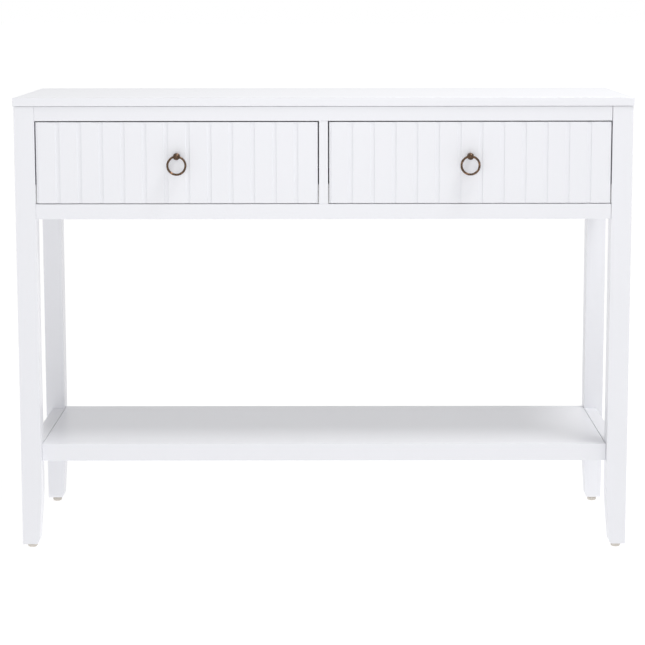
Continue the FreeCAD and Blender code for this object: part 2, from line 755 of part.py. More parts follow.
def make_cleats():
    """Square strips glued inside the shelf's rails; the panel lies on them and is screwed from below."""
    cleats = []
    for middle in (FRONT_CLEAT_Y, REAR_CLEAT_Y):
        low = (f"-{LEG_X}", f"{middle} - cleat_size / 2", CLEAT_BOTTOM)
        cleat = board("Cleat", low, (LEG_X, f"{middle} + cleat_size / 2", PANEL_BOTTOM), alone=False)
        own = [place for place in cleat_screws() if place[1] == middle]
        drill(cleat, "Z", own, CLEAT_BOTTOM, "cleat_size", SCREW_HOLE)
        cleats.append(cleat)
    group("shelf_cleats", cleats)
    group("cleat_screws", [screw("+Z", place, "cleat_screw_length") for place in cleat_screws()])


# ---------------------------------------------------------------- dowels of the frame
def make_frame_dowels():
    dowels = []
    for end in ENDS.values():
        for side in SIDES.values():
            for joint in sum(leg_joints_x(end), []):
                dowels.append(dowel("X", (f"{side} * {LEG_X}", joint[1], joint[2])))
            for joint in sum(leg_joints_y(side), []):
                dowels.append(dowel("Y", (joint[0], f"{end} * {LEG_Y}", joint[2])))
    group("frame_dowels", dowels)


# ---------------------------------------------------------------- drawer slides
def wall(drawer, position):
    """Expression for the x of the wall that a slide is fixed to, and the way from it to the drawer."""
    side = SIDES[drawer]
    if position == "outer":
        return f"{side} * {LEG_X}", -side
    return f"{side} * {DIVIDER_X}", side


def slide_screws(drawer, position, rise):
    """Screw places on a slide; the right drawer's inner slide is staggered past the left one's."""
    stagger = "slide_screw_stagger" if (drawer, position) == ("right", "inner") else "0"
    z = f"{SLIDE_BOTTOM} + {rise}"
    start = f"{SLIDE_FRONT} + slide_screw_inset + {stagger}"
    return [("0", f"{start} + {step} * {SCREW_PITCH}", z) for step in (0, 1, 2)]


def track_screws(drawer, position):
    return slide_screws(drawer, position, "track_screw_rise")


def runner_screws(drawer, position):
    return slide_screws(drawer, position, "runner_screw_rise")


def section(label, at, points, facing):
    """A slide member: one bent-metal section along Y; the points give its distances from the wall."""
    body = node(new_body("Section", at), label)
    sketch = new_sketch(body, "Y")
    draw(sketch, [(f"{facing} * ({u})", z) for u, z in points])
    pad(body, sketch, SLIDE_LENGTH, reverse=True)
    return body


def add_tongue(body, facing):
    """The web's tongue, which runs forward in the gap beside the drawer front."""
    sketch = new_sketch(body, "Y", f"-{TRACK_TONGUE}")
    corners = [("0", "0"), ("slide_metal", "0"), ("slide_metal", "slide_height"), ("0", "slide_height")]
    draw(sketch, [(f"{facing} * ({u})", z) for u, z in corners])
    pad(body, sketch, TRACK_TONGUE, reverse=True)


def make_track(drawer, position):
    """The fixed member: an upright web on the wall, a rolling flange with a lip, and a top flange."""
    x, facing = wall(drawer, position)
    points = [
        ("0", "0"),
        (TRACK_WIDTH, "0"),
        (TRACK_WIDTH, "track_lip"),
        (f"{TRACK_WIDTH} - slide_metal", "track_lip"),
        (f"{TRACK_WIDTH} - slide_metal", "slide_metal"),
        ("slide_metal", "slide_metal"),
        ("slide_metal", "slide_height - slide_metal"),
        (TRACK_TOP, "slide_height - slide_metal"),
        (TRACK_TOP, "slide_height"),
        ("0", "slide_height"),
    ]
    body = section(f"{drawer}_{position}_track", (x, SLIDE_FRONT, SLIDE_BOTTOM), points, facing)
    add_tongue(body, facing)
    start = x if facing > 0 else f"({x}) - slide_metal"
    drill(body, "X", track_screws(drawer, position), start, "slide_metal", SCREW_HOLE)
    axle = [("0", FRONT_ROLLER_Y, FRONT_ROLLER_Z)]
    drill(body, "X", axle, start, "slide_metal", "axle_radius + fit")


def make_runner(drawer, position):
    """The moving member: a web on the drawer side, a flange under it, and one over the front roller."""
    x, facing = wall(drawer, position)
    web = "slide_space - slide_metal"
    top = "runner_rise + runner_height"
    points = [
        (web, "runner_rise"),
        ("slide_space + box_wall", "runner_rise"),
        ("slide_space + box_wall", "runner_rise + slide_metal"),
        ("slide_space", "runner_rise + slide_metal"),
        ("slide_space", top),
        ("runner_flange_gap", top),
        ("runner_flange_gap", f"{top} - slide_metal"),
        (web, f"{top} - slide_metal"),
    ]
    body = section(f"{drawer}_{position}_runner", (x, SLIDE_FRONT, SLIDE_BOTTOM), points, facing)
    face = f"({x}) + {facing} * ({web})"
    start = face if facing > 0 else f"({face}) - slide_metal"
    drill(body, "X", runner_screws(drawer, position), start, "slide_metal", SCREW_HOLE)
    axle = [("0", REAR_ROLLER_Y, REAR_ROLLER_Z)]
    drill(body, "X", axle, start, "slide_metal", "axle_radius + fit")


def roller(drawer, position, y, z):
    """A plain roller, bored for its axle."""
    x, facing = wall(drawer, position)
    direction = "+X" if facing > 0 else "-X"
    at = (f"({x}) + {facing} * roller_wall_gap", y, z)
    bored = doc.addObject("Part::Cut", "Roller")
    bored.Base = rod(direction, at, "roller_radius", ROLLER_WIDTH)
    bored.Tool = rod(direction, at, "axle_radius + fit", ROLLER_WIDTH)
    return bored


def axle(start_u, length, drawer, position, y, z, outward):
    """A riveted pin: it starts flush with the metal at start_u and ends in a thin head."""
    x, facing = wall(drawer, position)
    way = facing if outward else -facing
    direction = "+X" if way > 0 else "-X"
    start = f"({x}) + {facing} * ({start_u})"
    pin = rod(direction, (start, y, z), "axle_radius", length)
    head_at = (f"{start} + {way} * ({length})", y, z)
    head = rod(direction, head_at, "axle_head_radius", "axle_head_length")
    return fused([pin, head])


def make_fixed_slides(drawer):
    """Both fixed members of a drawer, with their front rollers and screws."""
    positions = ("outer", "inner")
    for position in positions:
        make_track(drawer, position)
    rollers = [roller(drawer, position, FRONT_ROLLER_Y, FRONT_ROLLER_Z) for position in positions]
    group(f"{drawer}_front_rollers", rollers)
    reach = f"roller_wall_gap + {ROLLER_WIDTH} + fit"
    place = (FRONT_ROLLER_Y, FRONT_ROLLER_Z)
    return [axle("0", reach, drawer, position, *place, True) for position in positions]


def fixed_screws(drawer):
    screws = []
    for position in ("outer", "inner"):
        x, facing = wall(drawer, position)
        for place in track_screws(drawer, position):
            seat = (f"({x}) + {facing} * slide_metal", place[1], place[2])
            screws.append(screw("-X" if facing > 0 else "+X", seat))
    return screws


def make_moving_slides(drawer):
    """Both moving members of a drawer, with their rear rollers, axles and screws."""
    positions = ("outer", "inner")
    screws = []
    for position in positions:
        make_runner(drawer, position)
        x, facing = wall(drawer, position)
        for place in runner_screws(drawer, position):
            seat = (f"({x}) + {facing} * (slide_space - slide_metal)", place[1], place[2])
            screws.append(screw("+X" if facing > 0 else "-X", seat))
    group(f"{drawer}_runner_screws", screws)
    rollers = [roller(drawer, position, REAR_ROLLER_Y, REAR_ROLLER_Z) for position in positions]
    group(f"{drawer}_rear_rollers", rollers)
    reach = "slide_space - roller_wall_gap + fit"
    place = (REAR_ROLLER_Y, REAR_ROLLER_Z)
    pins = [axle("slide_space", reach, drawer, position, *place, False) for position in positions]
    group(f"{drawer}_rear_axles", pins)


# ---------------------------------------------------------------- drawers
def box_sides(drawer):
    """Low and high x of each side board of a drawer box, by position."""
    side = SIDES[drawer]
    return {
        "outer": mirrored(side, f"{BOX_OUTER_X} - box_wall", BOX_OUTER_X),
        "inner": mirrored(side, BOX_INNER_X, f"{BOX_INNER_X} + box_wall"),
    }


def box_inside(drawer):
    """Low and high x of the space between the side boards."""
    side = SIDES[drawer]
    return mirrored(side, f"{BOX_INNER_X} + box_wall", f"{BOX_OUTER_X} - box_wall")


def corner_joints(drawer, position):
    """Dowel centres at the front end of a side board, and at its joint with the back board."""
    low, high = box_sides(drawer)[position]
    middle = f"(({low}) + ({high})) / 2"
    front = pair((middle, FRONT_BACK, BOX_MIDDLE), "Z", "box_dowel_offset")
    inside = box_inside(drawer)
    at_low = (position == "inner") == (SIDES[drawer] > 0)
    plane = inside[0] if at_low else inside[1]
    back = pair((plane, f"{BOX_BACK} - box_wall / 2", BOX_MIDDLE), "Z", "box_dowel_offset")
    return front, back, at_low


def make_front(drawer):
    """The drawer front: boards set off by shallow upright channels, drilled for the pull's screw."""
    side = SIDES[drawer]
    low_x, high_x = mirrored(side, f"{DIVIDER_X} + front_side_gap", f"{LEG_X} - front_side_gap")
    low = (low_x, RAIL_FRONT, FRONT_BOTTOM)
    body = board(f"{drawer}_drawer_front", low, (high_x, FRONT_BACK, FRONT_TOP))
    first = f"({low_x}) + {BOARD_PITCH} - channel_width / 2"
    low = (first, RAIL_FRONT, FRONT_BOTTOM)
    high = (f"{first} + channel_width", f"{RAIL_FRONT} + channel_depth", FRONT_TOP)
    channel = notch(body, "Z", low, high)
    channels = body.newObject("PartDesign::LinearPattern", "Channels")
    channels.Originals = [channel]
    channels.Direction = (channel.Profile[0], ["H_Axis"])
    bind(channels, "Length", f"(board_count - 2) * {BOARD_PITCH}")
    bind(channels, "Occurrences", "board_count - 1")
    body.Tip = channels
    cuts.append(channels)
    inside = box_inside(drawer)
    groove_low = (f"({inside[0]}) - groove_depth", f"{FRONT_BACK} - groove_depth", BOTTOM_LOW)
    groove_high = (f"({inside[1]}) + groove_depth", FRONT_BACK, f"{BOTTOM_TOP} + groove_slack")
    notch(body, "Y", groove_low, groove_high)
    dowels = corner_joints(drawer, "outer")[0] + corner_joints(drawer, "inner")[0]
    depth = "box_dowel_in_face + dowel_end_gap"
    drill(body, "Y", dowels, f"{FRONT_BACK} - ({depth})", depth, DOWEL_HOLE)
    pull = [(f"{side} * {DRAWER_X}", "0", PULL_Z)]
    drill(body, "Y", pull, RAIL_FRONT, "front_thickness", "pull_screw_radius + fit")


def make_box(drawer):
    """The box behind the front: grooved sides, a back that stands on the bottom, and the bottom."""
    screw_depth = "screw_length - slide_metal"
    dowels = []
    back_joints = []
    for position, (low_x, high_x) in box_sides(drawer).items():
        low = (low_x, FRONT_BACK, BOX_BOTTOM)
        body = board(f"{drawer}_drawer_{position}_side", low, (high_x, BOX_BACK, BOX_TOP))
        front, back, at_low = corner_joints(drawer, position)
        groove_x = f"({high_x}) - groove_depth" if at_low else low_x
        groove_low = (groove_x, FRONT_BACK, BOTTOM_LOW)
        groove_high = (f"{groove_x} + groove_depth", BOX_BACK, f"{BOTTOM_TOP} + groove_slack")
        notch(body, "Y", groove_low, groove_high)
        drill(body, "Y", front, FRONT_BACK, "box_dowel_in_end + dowel_end_gap", DOWEL_HOLE)
        face_depth = "box_dowel_in_face + dowel_end_gap"
        face_start = f"({high_x}) - ({face_depth})" if at_low else low_x
        drill(body, "X", back, face_start, face_depth, DOWEL_HOLE)
        outer_start = low_x if at_low else f"({high_x}) - ({screw_depth})"
        drill(body, "X", runner_screws(drawer, position), outer_start, screw_depth, SCREW_HOLE)
        face, end = "box_dowel_in_face", "box_dowel_in_end"
        dowels += [dowel("Y", joint, face, end) for joint in front]
        ends = (face, end) if at_low else (end, face)
        dowels += [dowel("X", joint, *ends) for joint in back]
        back_joints.append((back, at_low))
    inside = box_inside(drawer)
    back_low = (inside[0], f"{BOX_BACK} - box_wall", BOTTOM_TOP)
    rear = board(f"{drawer}_drawer_back", back_low, (inside[1], BOX_BACK, BOX_TOP))
    end_depth = "box_dowel_in_end + dowel_end_gap"
    for joints, at_low in back_joints:
        start = inside[0] if at_low else f"({inside[1]}) - ({end_depth})"
        drill(rear, "X", joints, start, end_depth, DOWEL_HOLE)
    reach = "groove_depth - dowel_end_gap"
    bottom_low = (f"({inside[0]}) - ({reach})", f"{FRONT_BACK} - ({reach})", BOTTOM_LOW)
    board(f"{drawer}_drawer_bottom", bottom_low, (f"({inside[1]}) + {reach}", BOX_BACK, BOTTOM_TOP))
    group(f"{drawer}_drawer_dowels", dowels)


# ---------------------------------------------------------------- pulls
def make_pull_post(drawer):
    """A turned post with a ball head; the ring's hole through the ball widens to let the ring turn."""
    x = f"{SIDES[drawer]} * {DRAWER_X}"
    body = node(new_body("Post", (x, RAIL_FRONT, PULL_Z)), f"{drawer}_pull_post")
    profile = new_sketch(body, "Z")
    neck_end = "-pull_reach + sqrt(ball_radius ^ 2 - neck_radius ^ 2)"
    points = [
        ("0", "0"),
        ("pull_base_radius", "0"),
        ("pull_base_radius", "-pull_base_thickness"),
        ("neck_radius", "-pull_base_thickness"),
        ("neck_radius", neck_end),
        ("0", "-pull_reach - ball_radius"),
    ]
    draw(profile, points, {4: "ball_radius"})
    turned = body.newObject("PartDesign::Revolution", "Turned")
    turned.Profile = profile
    turned.ReferenceAxis = (profile, ["V_Axis"])
    throat = new_sketch(body, "Z")
    bind(throat, "AttachmentOffset.Base.y", "-pull_reach")
    past = "(ball_radius + ring_wire_radius / 2)"
    inner = "(ring_radius - ring_wire_radius - ring_clearance)"
    mouth = f"ring_radius - sqrt({inner} ^ 2 - {past} ^ 2)"
    points = [(f"-{past}", "0"), (past, "0"), (past, mouth), (f"-{past}", mouth)]
    draw(throat, points, {2: inner})
    bored = body.newObject("PartDesign::Groove", "RingHole")
    bored.Profile = throat
    bored.ReferenceAxis = (throat, ["H_Axis"])
    cuts.append(bored)
    start = f"{RAIL_FRONT} - pull_screw_grip"
    drill(body, "Y", [(x, "0", PULL_Z)], start, "pull_screw_grip", "pull_screw_radius + fit")


def make_pull_screw(drawer):
    """A machine screw from inside the drawer into the post."""
    x = f"{SIDES[drawer]} * {DRAWER_X}"
    seat = (x, FRONT_BACK, PULL_Z)
    shank = rod("-Y", seat, "pull_screw_radius", "front_thickness + pull_screw_grip - dowel_end_gap")
    head = rod("+Y", seat, "pull_screw_head_radius", "pull_screw_head_length")
    node(fused([shank, head]), f"{drawer}_pull_screw")


def make_pull_ring(drawer):
    """The ring, hanging straight down through the ball."""
    ring = doc.addObject("Part::Torus", "Ring")
    bind(ring, "Radius1", "ring_radius")
    bind(ring, "Radius2", "ring_wire_radius")
    ring.Placement.Rotation = TURNS["+Y"]
    put(ring, (f"{SIDES[drawer]} * {DRAWER_X}", PULL_Y, f"{PULL_Z} - ring_radius"))
    node(ring, f"{drawer}_pull_ring")


# ---------------------------------------------------------------- assembly
def make_table():
    make_top()
    make_brackets()
    for end_name in ENDS:
        for side_name in SIDES:
            make_leg(end_name, side_name)
    make_glides()
    make_front_rails()
    make_partition()
    make_aprons()
    make_battens()
    make_shelf()
    make_cleats()
    make_frame_dowels()
    axles = []
    screws = []
    for drawer in SIDES:
        axles += make_fixed_slides(drawer)
        screws += fixed_screws(drawer)
        make_moving_slides(drawer)
        make_front(drawer)
        make_box(drawer)
        make_pull_post(drawer)
        make_pull_screw(drawer)
        make_pull_ring(drawer)
    group("front_axles", axles)
    group("track_screws", screws)


def check_model():
    """Stop if a feature failed, a cut took nothing away, or a sub-part has no valid shape."""
    for thing in doc.Objects:
        if "Invalid" in thing.State or "Error" in thing.State:
            raise RuntimeError(f"{thing.Label} ({thing.TypeId}) failed: {thing.State}")
    for feature in cuts:
        before = feature.BaseFeature.Shape.Volume
        if feature.Shape.Volume > before - 1e-3:
            owner = feature.getParentGeoFeatureGroup()
            raise RuntimeError(f"{feature.Label} in {owner.Label} cuts nothing")
    for sub_part in nodes:
        if sub_part.Shape.isNull() or not sub_part.Shape.isValid():
            raise RuntimeError(f"{sub_part.Label} has no valid shape")


def write_parts():
    os.makedirs("parts", exist_ok=True)
    for sub_part in nodes:
        sub_part.Shape.exportStep(f"parts/{sub_part.Label}.step")


make_table()
doc.recompute()
check_model()
write_parts()
print(len(nodes), "sub-parts written")
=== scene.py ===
# %% [markdown]
# # A white console table
#
# The table is a lacquered frame on four square legs, with two channelled drawers on bronze ring pulls and a
# low shelf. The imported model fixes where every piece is, so this lesson only gives the pieces their finish:
# soft edges, fine detail and materials. Everything is in metres, and +Z is up.

# %% Load the frame
import json
import math

import bmesh
import bpy
from mathutils import Matrix, Vector


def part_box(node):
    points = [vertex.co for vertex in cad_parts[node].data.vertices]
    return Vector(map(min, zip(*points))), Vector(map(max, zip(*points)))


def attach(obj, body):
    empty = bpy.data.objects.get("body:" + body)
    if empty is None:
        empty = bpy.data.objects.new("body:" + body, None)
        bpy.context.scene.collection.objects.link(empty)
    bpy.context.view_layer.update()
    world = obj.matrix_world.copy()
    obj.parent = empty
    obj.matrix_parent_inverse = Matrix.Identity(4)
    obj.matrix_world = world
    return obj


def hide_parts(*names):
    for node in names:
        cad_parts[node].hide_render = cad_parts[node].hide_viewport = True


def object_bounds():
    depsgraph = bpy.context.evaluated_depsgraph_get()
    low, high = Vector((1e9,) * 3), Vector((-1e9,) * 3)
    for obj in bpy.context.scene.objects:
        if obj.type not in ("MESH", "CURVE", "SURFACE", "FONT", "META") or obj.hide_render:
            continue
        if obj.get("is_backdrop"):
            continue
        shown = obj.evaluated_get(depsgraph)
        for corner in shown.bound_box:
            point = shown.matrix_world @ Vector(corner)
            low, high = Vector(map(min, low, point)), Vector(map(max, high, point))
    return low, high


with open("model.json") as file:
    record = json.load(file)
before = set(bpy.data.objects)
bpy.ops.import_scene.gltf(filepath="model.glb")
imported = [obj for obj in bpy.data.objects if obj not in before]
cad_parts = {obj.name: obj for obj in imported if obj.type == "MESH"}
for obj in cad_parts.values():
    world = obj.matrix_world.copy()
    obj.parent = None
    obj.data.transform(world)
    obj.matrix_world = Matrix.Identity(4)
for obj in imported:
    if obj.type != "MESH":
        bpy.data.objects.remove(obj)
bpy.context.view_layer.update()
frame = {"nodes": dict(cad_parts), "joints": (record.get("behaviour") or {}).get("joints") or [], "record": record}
MM = 0.001
X, Y, Z = 0, 1, 2
SIDES = ("left", "right")
ENDS = ("front", "rear")

# %% [markdown]
# ## Camera
#
# A table is looked at from a little above its top, from well back and through a long lens. Tilting a camera
# down makes upright legs lean towards each other, so part of the looking down is done by shifting the lens
# instead. The sideways step, the small shift across and the trace of roll are those of a camera that was set
# up by hand.

# %% Camera
CAMERA_PLACE = (0.0123, -3.50, 1.002)
CAMERA_PITCH = 7.4
CAMERA_ROLL = 0.06
LENS = 105.2
SENSOR = 36
LENS_SHIFT_ACROSS = -0.012
LENS_SHIFT_UP = -0.13

camera_data = bpy.data.cameras.new("camera")
camera_data.lens = LENS
camera_data.sensor_width = SENSOR
camera_data.shift_x = LENS_SHIFT_ACROSS
camera_data.shift_y = LENS_SHIFT_UP
camera = bpy.data.objects.new("camera", camera_data)
camera.location = CAMERA_PLACE
camera.rotation_euler = (math.radians(90 - CAMERA_PITCH), math.radians(CAMERA_ROLL), 0)
bpy.context.scene.collection.objects.link(camera)
bpy.context.scene.camera = camera
print("camera looks down by", CAMERA_PITCH, "degrees, and by its shift")

# %% [markdown]
# ## Shader maths
#
# A finish is a small formula: some noise, scaled and added, decides a colour or a roughness. Writing it as
# Python arithmetic is easier to read than wiring nodes. `Wire` holds one output socket, and its operators
# add Math nodes. The reflected ones let a plain number stand on the left.

# %% Wires
class Wire:
    """One output socket, usable in arithmetic."""

    def __init__(self, finish, socket):
        self.finish = finish
        self.socket = socket

    def math(self, operation, first, second):
        return self.finish.node("ShaderNodeMath", {"operation": operation}, {0: first, 1: second})

    def __add__(self, other):
        return self.math("ADD", self, other)

    def __sub__(self, other):
        return self.math("SUBTRACT", self, other)

    def __rsub__(self, other):
        return self.math("SUBTRACT", other, self)

    def __mul__(self, other):
        return self.math("MULTIPLY", self, other)

    __radd__ = __add__
    __rmul__ = __mul__


print("wires can be added, subtracted and multiplied")

# %% [markdown]
# ## A finish
#
# `Finish` owns one material. Its `node` method makes any node, and the methods below it name the few that
# every finish here is built of: noise of a real size, a blend of two colours, and relief of a real depth.

# %% Finish class
# the Mix node has a set of sockets for each kind of value, so those for colours are told by their number
COLOUR_FACTOR, COLOUR_A, COLOUR_B = 0, 6, 7
COLOUR_RESULT = 2


class Finish:
    """A material with a Principled shader and helpers for its nodes."""

    def __init__(self, name, **sockets):
        self.material = bpy.data.materials.new(name)
        self.material.use_nodes = True
        self.tree = self.material.node_tree
        self.shader = self.tree.nodes["Principled BSDF"]
        coordinates = self.tree.nodes.new("ShaderNodeTexCoord")
        self.place = Wire(self, coordinates.outputs["Object"])
        for socket, value in sockets.items():
            self.set(socket.replace("_", " "), value)

    def set(self, socket, value):
        """Give one of the shader's sockets a number, a colour or a wire."""
        self.feed(self.shader.inputs[socket], value)

    def feed(self, socket, value):
        if isinstance(value, Wire):
            self.tree.links.new(value.socket, socket)
        elif socket.type == "RGBA" and len(value) == 3:
            socket.default_value = (*value, 1)
        else:
            socket.default_value = value

    def node(self, kind, settings=None, values=None, output=0):
        """Any node: its settings first, then the values or wires of its sockets."""
        made = self.tree.nodes.new(kind)
        for name, setting in (settings or {}).items():
            setattr(made, name, setting)
        for key, value in (values or {}).items():
            self.feed(made.inputs[key], value)
        return Wire(self, made.outputs[output])

    def stretched(self, x, y, z):
        """The piece's own coordinates, scaled along each axis."""
        return self.node("ShaderNodeMapping", {}, {"Vector": self.place, "Scale": (x, y, z)})

    def noise(self, size, detail=2, where=None):
        """Soft random spots of about the given size in metres, from 0 to 1."""
        values = {"Vector": where or self.place, "Scale": 1 / size, "Detail": detail}
        return self.node("ShaderNodeTexNoise", {}, values)

    def blend(self, factor, first, second):
        """A colour between two colours or colour wires."""
        values = {COLOUR_FACTOR: factor, COLOUR_A: first, COLOUR_B: second}
        return self.node("ShaderNodeMix", {"data_type": "RGBA"}, values, output=COLOUR_RESULT)

    def between(self, wire, low, high):
        """0 below low, 1 above high, and smooth between them."""
        settings = {"interpolation_type": "SMOOTHSTEP"}
        values = {"Value": wire, "From Min": low, "From Max": high, "To Min": 0, "To Max": 1}
        return self.node("ShaderNodeMapRange", settings, values)

    def relief(self, height, depth, strength=1.0, under=None):
        """Bump of a real depth in metres, where height runs from 0 to 1."""
        values = {"Height": height, "Distance": depth, "Strength": strength}
        if under is not None:
            values["Normal"] = under
        return self.node("ShaderNodeBump", {}, values)


print("finishes can be made")

# %% [markdown]
# ## White lacquer
#
# The frame is sprayed with several coats of satin white. Sprayed lacquer isn't perfectly flat: it has a fine
# orange peel about a millimetre across and a slow unevenness from the sanding beneath it. Its colour drifts
# by a percent or two where one coat is thicker, and its sheen changes with it.

# %% Lacquer
LACQUER_TONE = (0.872, 0.876, 0.912)
THIN_LACQUER_TONE = (0.842, 0.847, 0.884)
SATIN = 0.34


def lacquer(name):
    """Sprayed satin lacquer, a little darker where it is thinner."""
    finish = Finish(name, IOR=1.48)
    clouds = finish.noise(160 * MM, 3)
    specks = finish.noise(12 * MM)
    finish.set("Base Color", finish.blend(clouds * 0.75 + specks * 0.25, THIN_LACQUER_TONE, LACQUER_TONE))
    finish.set("Roughness", SATIN + (clouds - 0.5) * 0.06 + (specks - 0.5) * 0.04)
    peel = finish.relief(finish.noise(1.6 * MM, 1), 0.03 * MM, 0.35)
    finish.set("Normal", finish.relief(finish.noise(35 * MM, 1), 0.2 * MM, 0.25, under=peel))
    return finish.material


white_lacquer = lacquer("white_lacquer")
print(white_lacquer.name, len(white_lacquer.node_tree.nodes), "nodes")

# %% [markdown]
# ## Drawer board and slide enamel
#
# Inside, the drawers are plain melamine board with a dry, slightly warm white and a fine pressed texture that
# runs from front to back. The slides are steel under a white epoxy enamel, whose orange peel is a little finer
# and deeper than the lacquer's.

# %% Board and enamel
def pressed_board(name):
    finish = Finish(name, IOR=1.45)
    fibres = finish.noise(1.5 * MM, 3, finish.stretched(1, 0.12, 1))
    clouds = finish.noise(90 * MM)
    finish.set("Base Color", finish.blend(clouds, (0.80, 0.795, 0.775), (0.84, 0.835, 0.82)))
    finish.set("Roughness", 0.48 + (fibres - 0.5) * 0.2)
    finish.set("Normal", finish.relief(fibres, 0.08 * MM, 0.5))
    return finish.material


def enamel(name):
    finish = Finish(name, IOR=1.5)
    peel = finish.noise(1.2 * MM)
    finish.set("Base Color", finish.blend(finish.noise(30 * MM), (0.80, 0.80, 0.79), (0.86, 0.86, 0.85)))
    finish.set("Roughness", 0.28 + (peel - 0.5) * 0.14)
    finish.set("Normal", finish.relief(peel, 0.04 * MM, 0.6))
    return finish.material


finishes = {
    "white_lacquer": white_lacquer,
    "drawer_board": pressed_board("drawer_board"),
    "slide_enamel": enamel("slide_enamel"),
}
print(sorted(finishes))

# %% [markdown]
# ## Moulded plastic
#
# The rollers are nylon and the glides a hard pale plastic. Both come out of a mould whose walls were etched by
# sparks, which leaves a fine even grain. Only their tone and their sheen differ.

# %% Plastics
def moulded(name, colour, shade, roughness):
    finish = Finish(name, IOR=1.49)
    grain = finish.noise(0.7 * MM)
    finish.set("Base Color", finish.blend(finish.noise(8 * MM, 3), shade, colour))
    finish.set("Roughness", roughness + (grain - 0.5) * 0.16)
    finish.set("Normal", finish.relief(grain, 0.03 * MM, 0.5))
    return finish.material


finishes["roller_nylon"] = moulded("roller_nylon", (0.82, 0.82, 0.80), (0.74, 0.74, 0.72), 0.42)
finishes["glide_plastic"] = moulded("glide_plastic", (0.70, 0.66, 0.60), (0.58, 0.54, 0.49), 0.5)
print(len(finishes), "finishes so far")

# %% [markdown]
# ## Zinc plate and birch
#
# Screws, brackets and pins are zinc-plated: bright, with fine drawing lines and duller clouds. The dowels are
# birch, whose grain is noise stretched along the dowel.

# %% Zinc and birch
def plated(name):
    finish = Finish(name, Metallic=1.0)
    clouds = finish.noise(4 * MM, 3)
    lines = finish.noise(0.4 * MM, 2, finish.stretched(1, 1, 0.2))
    finish.set("Base Color", finish.blend(clouds, (0.50, 0.51, 0.53), (0.66, 0.67, 0.68)))
    finish.set("Roughness", 0.26 + clouds * 0.14 + (lines - 0.5) * 0.1)
    finish.set("Normal", finish.relief(lines, 0.02 * MM, 0.4))
    return finish.material


def birch(name):
    finish = Finish(name)
    grain = finish.noise(1.2 * MM, 4, finish.stretched(0.15, 0.15, 1))
    finish.set("Base Color", finish.blend(grain, (0.56, 0.40, 0.24), (0.74, 0.58, 0.39)))
    finish.set("Roughness", 0.6 + (grain - 0.5) * 0.2)
    finish.set("Normal", finish.relief(grain, 0.1 * MM, 0.5))
    return finish.material


finishes["zinc"] = plated("zinc")
finishes["birch"] = birch("birch")
print(len(finishes), "finishes so far")

# %% [markdown]
# ## Aged bronze
#
# The pulls are brass, darkened to brown and then rubbed, so that copper shows through in patches. A coarse
# noise says where it is rubbed, and a fine one breaks the edges of the patches, so that they look worn and
# not painted. Rubbed metal is also a little smoother.

# %% Bronze
DEEP_BROWN = (0.072, 0.045, 0.031)
WARM_BROWN = (0.125, 0.080, 0.052)
COPPER = (0.50, 0.28, 0.17)
RUBBED_FROM = 0.55
RUBBED_TO = 0.76


def aged_bronze(name):
    finish = Finish(name, Metallic=1.0)
    patches = finish.noise(6 * MM, 3)
    grit = finish.noise(0.9 * MM, 3)
    rubbed = finish.between(patches + (grit - 0.5) * 0.5, RUBBED_FROM, RUBBED_TO)
    brown = finish.blend(patches, DEEP_BROWN, WARM_BROWN)
    finish.set("Base Color", finish.blend(rubbed * 0.6, brown, COPPER))
    finish.set("Roughness", 0.27 - rubbed * 0.07 + (grit - 0.5) * 0.12)
    finish.set("Normal", finish.relief(grit, 0.05 * MM, 0.5))
    return finish.material


finishes["aged_bronze"] = aged_bronze("aged_bronze")
print(len(finishes), "finishes in all")

# %% [markdown]
# ## Making a mesh piece
#
# Most pieces are made the same way: a bare shape, then a small Bevel that eases its edges as sandpaper
# does, then the result kept as a plain mesh. The Bevel hardens its normals, so that wide faces stay flat in
# the light while the eased edge shines. `settle` then gives the piece its finish, hangs it on the body that it
# rides on and hides the model nodes that it stands for.

# %% Edges and finish of a piece
SHARP_CORNER = math.radians(30)


def to_object(name, shape):
    """Turn a bmesh into an object with its faces smooth and outwards."""
    bmesh.ops.recalc_face_normals(shape, faces=shape.faces)
    for face in shape.faces:
        face.smooth = True
    mesh = bpy.data.meshes.new(name)
    shape.to_mesh(mesh)
    shape.free()
    piece = bpy.data.objects.new(name, mesh)
    bpy.context.scene.collection.objects.link(piece)
    return piece


def keep_result(piece):
    """Keep what the modifiers make as a plain mesh, and remove them."""
    graph = bpy.context.evaluated_depsgraph_get()
    made = bpy.data.meshes.new_from_object(piece.evaluated_get(graph), depsgraph=graph)
    piece.modifiers.clear()
    piece.data = made
    return piece


def ease(piece, width, steps=3):
    """Round every edge whose faces meet at more than SHARP_CORNER."""
    bevel = piece.modifiers.new("eased edges", "BEVEL")
    bevel.width = width
    bevel.segments = steps
    bevel.limit_method = "ANGLE"
    bevel.angle_limit = SHARP_CORNER
    bevel.harden_normals = True
    return keep_result(piece)


def settle(piece, body, slot, *nodes):
    """Give a piece its finish and the body that it rides on, and hide the model nodes that it stands for."""
    piece.data.materials.clear()
    piece.data.materials.append(finishes[slot])
    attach(piece, body)
    if nodes:
        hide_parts(*nodes)
    return piece


print("pieces can be eased and settled")

# %% [markdown]
# ## Boards
#
# Nearly everything in a table is one outline pushed straight along an axis. A plank is the simplest case: its
# outline is a rectangle, and its two far corners come straight from the model's box. `skin` stretches faces
# from each ring of points to the next, and legs, pull rings and turned pieces use it too.

# %% Prism and plank
def skin(shape, rings, closed=False):
    """Faces from each ring of points to the next. A ring of one point is a pole."""
    pairs = list(zip(rings, rings[1:])) + ([(rings[-1], rings[0])] if closed else [])
    for one, two in pairs:
        count = max(len(one), len(two))
        for i in range(count):
            j = (i + 1) % count
            corners = [one[i % len(one)], one[j % len(one)], two[j % len(two)], two[i % len(two)]]
            shape.faces.new(list(dict.fromkeys(corners)))


